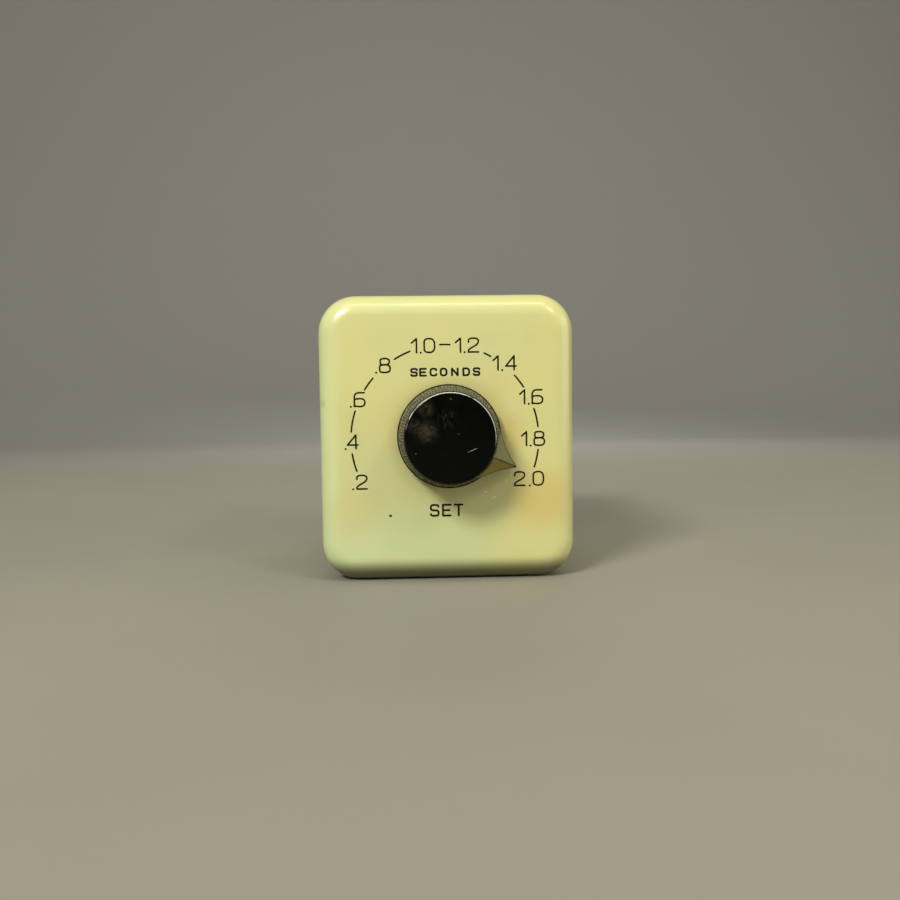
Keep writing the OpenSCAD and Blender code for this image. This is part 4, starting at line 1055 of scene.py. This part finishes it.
def base_phenolic():
    """Brown-black moulding powder: a fine fleck of wood flour in the resin, with flow marks round the plug that
    also make the gloss uneven."""
    s = Shader("base_phenolic")
    fleck = s.step(s.noise(0.3, 3, 0.7), 0.55, 0.75)
    flow = s.noise(4, 3, 0.5, s.stretched(1, 3, 1))
    colour = s.mix(fleck * 0.5, s.mix(flow, rgb(40, 27, 20), rgb(58, 39, 28)), rgb(96, 66, 44))
    normal = s.bump(flow + fleck * 0.2, 0.02)
    return s.finish(base_color=colour, roughness=0.32 + flow * 0.2, normal=normal, coat_weight=0.15)


def coil_tape():
    """Wound tape: turns run round the coil, so the colour changes along its upright axis."""
    s = Shader("coil_tape")
    turns = s.math("FRACT", s.z / TURN_W + s.noise(8, 2) * 0.2)
    edge = s.step(turns, 0.93, 0.98)
    colour = s.mix(edge * 0.7, s.mix(s.noise(2, 4), rgb(196, 170, 74), rgb(168, 140, 52)), rgb(110, 88, 30))
    return s.finish(base_color=colour, roughness=0.38 + edge * 0.2, normal=s.bump(edge, 0.05))


finishes["base_phenolic"], finishes["coil_tape"] = base_phenolic(), coil_tape()
print(len(finishes), "finishes so far")

# %% [markdown]
# ## Every slot and its finish
# The record gives each node a material slot. A table from slot to family and numbers reads like a parts
# list, and a finish is made the first time that a piece asks for it. The nodes that a new surface stands
# for are painted too, because they are still there behind it.

# %% Paint every piece
METALS = {
    "pin_plating": ((206, 196, 170), (122, 106, 78), 0.26, (1, 5, 1)),
    "plated_steel": ((196, 194, 184), (128, 120, 100), 0.28, (3, 1, 1)),
    "bracket_steel": ((188, 190, 178), (140, 136, 112), 0.38, (1, 6, 1), 0.6),
    "relay_iron": ((170, 168, 160), (110, 100, 84), 0.4, (1, 1, 5)),
    "turned_brass": ((206, 174, 106), (140, 104, 54), 0.3, (1, 0.3, 1)),
    "contact_bronze": ((204, 160, 112), (140, 98, 62), 0.32, (1, 4, 1)),
    "solder": ((190, 190, 186), (134, 132, 124), 0.3),
    "transistor_can": ((204, 188, 142), (150, 132, 88), 0.24),
}
PLASTICS = {
    "wafer_phenolic": ((126, 82, 44), (98, 60, 32), 0.5),
    "carbon_track": ((34, 34, 34), (20, 20, 21), 0.62, 1.0),
    "capacitor_sleeve": ((34, 52, 92), (24, 38, 74), 0.3, 3.0, 0.02, 0.3),
    "film_dip": ((178, 86, 40), (150, 66, 30), 0.28, 3.0, 0.08, 0.4),
    "resistor_ceramic": ((214, 208, 190), (190, 182, 160), 0.7, 1.5, 0.05),
    "resistor_lacquer": ((168, 122, 84), (146, 100, 66), 0.4, 1.0),
    "diode_epoxy": ((36, 36, 38), (24, 24, 26), 0.42, 1.0),
    "varistor_dip": ((46, 76, 128), (34, 60, 108), 0.34, 2.0, 0.06, 0.3),
    "trimmer_plastic": ((44, 74, 118), (34, 60, 100), 0.45),
    "trimmer_white": ((222, 220, 208), (204, 200, 184), 0.45),
    "bobbin_nylon": ((224, 216, 190), (202, 192, 160), 0.4),
    "card_phenolic": ((150, 104, 58), (120, 78, 40), 0.45),
    "wire_red": ((158, 44, 34), (134, 34, 28), 0.42),
    "wire_yellow": ((206, 172, 60), (184, 150, 48), 0.42),
    "wire_green": ((58, 112, 66), (44, 94, 54), 0.42),
    "wire_white": ((218, 212, 194), (196, 188, 166), 0.42),
}
LAMINATES = {"board_laminate": ((176, 150, 84), (138, 112, 56))}
slot_of = {part["node"]: part["material_slot"] for part in frame["record"]["subparts"]}


def finish_for(slot):
    """A slot's finish, made once and shared."""
    if slot not in finishes:
        for family, numbers in ((metal, METALS), (plastic, PLASTICS), (laminate, LAMINATES)):
            if slot in numbers:
                finishes[slot] = family(slot, *numbers[slot])
    return finishes[slot]


def paint(piece, slot):
    """Gives a piece its slot's finish."""
    piece.data.materials.clear()
    piece.data.materials.append(finish_for(slot))


for node, piece in frame["nodes"].items():
    paint(piece, slot_of[node])
new_pieces = (case_cover, dial_print, knob, octal_base, pins, screws)
for piece in new_pieces:
    paint(piece, piece["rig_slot"])
print(len(finishes), "finishes on", len(frame["nodes"]), "frame pieces and", len(new_pieces), "new ones")

# %% [markdown]
# ## The paper sweep
# The case rests on plain pale paper that runs level under it and curves up behind, so that no hard horizon shows
# from the front. It is a profile carried sideways, made by the same grid code as the pieces.

# %% Lay the paper
FLOOR_FRONT, BEND_START, BEND_DEPTH, HALF_W = -3.5, 0.45, 0.35, 3.5
WALL_HEIGHTS = [0.9, 1.6]
floor_run = np.linspace(FLOOR_FRONT, BEND_START, 8)
bend = np.linspace(0, math.pi / 2, 14)[1:]
wall_y = [BEND_START + BEND_DEPTH] * len(WALL_HEIGHTS)
profile_y = np.concatenate([floor_run, BEND_START + BEND_DEPTH * np.sin(bend), wall_y]) / MM
profile_z = np.concatenate([0 * floor_run, BEND_DEPTH * (1 - np.cos(bend)), WALL_HEIGHTS]) / MM
across_x = np.linspace(-HALF_W, HALF_W, 6) / MM
sweep = np.stack(np.broadcast_arrays(across_x[None, :], profile_y[:, None], profile_z[:, None]), -1)
floor = build_object("studio_sweep", [(sweep, False, False)])
paper = Shader("studio_paper")
paper_colour = paper.mix(paper.noise(40, 3), rgb(146, 141, 126), rgb(139, 134, 120))
paper_colour = paper.mix(paper.step(paper.y, 150, 600), paper_colour, rgb(157, 155, 148))
floor.data.materials.append(paper.finish(base_color=paper_colour, roughness=0.7))

# %% [markdown]
# ## The lights
# The main light is above and to the left in front, and lays one clear highlight on the upper-left
# corner. A small one does the same for the upper-right corner, a broad one at the right lifts the side,
# a strip overhead draws the line along the top edge, and a weak one behind, kept out of reflections,
# shows the base. A dim even sky does the rest.

# %% Set the lights
def soft_light(name, place, aim, size, watts, colour):
    """A panel of light, (width, height) in metres, at a place and facing an aim."""
    data = bpy.data.lights.new(name, "AREA")
    data.shape, data.energy, data.color = "RECTANGLE", watts, colour
    data.size, data.size_y = size
    lamp = bpy.data.objects.new(name, data)
    place, aim = Vector(place), Vector(aim)
    lamp.rotation_mode = "QUATERNION"
    lamp.rotation_quaternion = (place - aim).to_track_quat("Z", "Y")
    lamp.location = place
    bpy.context.scene.collection.objects.link(lamp)
    return lamp


SKY = 0.24
middle = (0, panel_y * MM, mid_z * MM)
soft_light("key_light", (-0.40, -0.62, 0.58), middle, (0.22, 0.22), 6.6, (1.0, 0.98, 0.93))
soft_light("corner_light", (0.30, -0.36, 0.42), middle, (0.10, 0.10), 0.5, (1.0, 0.97, 0.90))
soft_light("fill_light", (0.80, -0.17, 0.16), middle, (0.7, 0.7), 3.2, (1.0, 0.98, 0.88))
soft_light("top_light", (0.0, -0.22, 0.52), middle, (0.5, 0.08), 0.8, (1.0, 0.99, 0.86))
rear_fill = soft_light("back_light", (0.06, 0.42, 0.30), middle, (0.25, 0.25), 0.8, (0.97, 0.99, 1.0))
rear_fill.visible_glossy = False
world = bpy.data.worlds.new("studio_air")
world.use_nodes = True
sky = world.node_tree.nodes["Background"].inputs
sky["Color"].default_value = (0.86, 0.88, 0.84, 1.0)
sky["Strength"].default_value = SKY
bpy.context.scene.world = world
bpy.context.scene.view_settings.view_transform = "Standard"
print("five panels of light and a sky of strength", SKY)
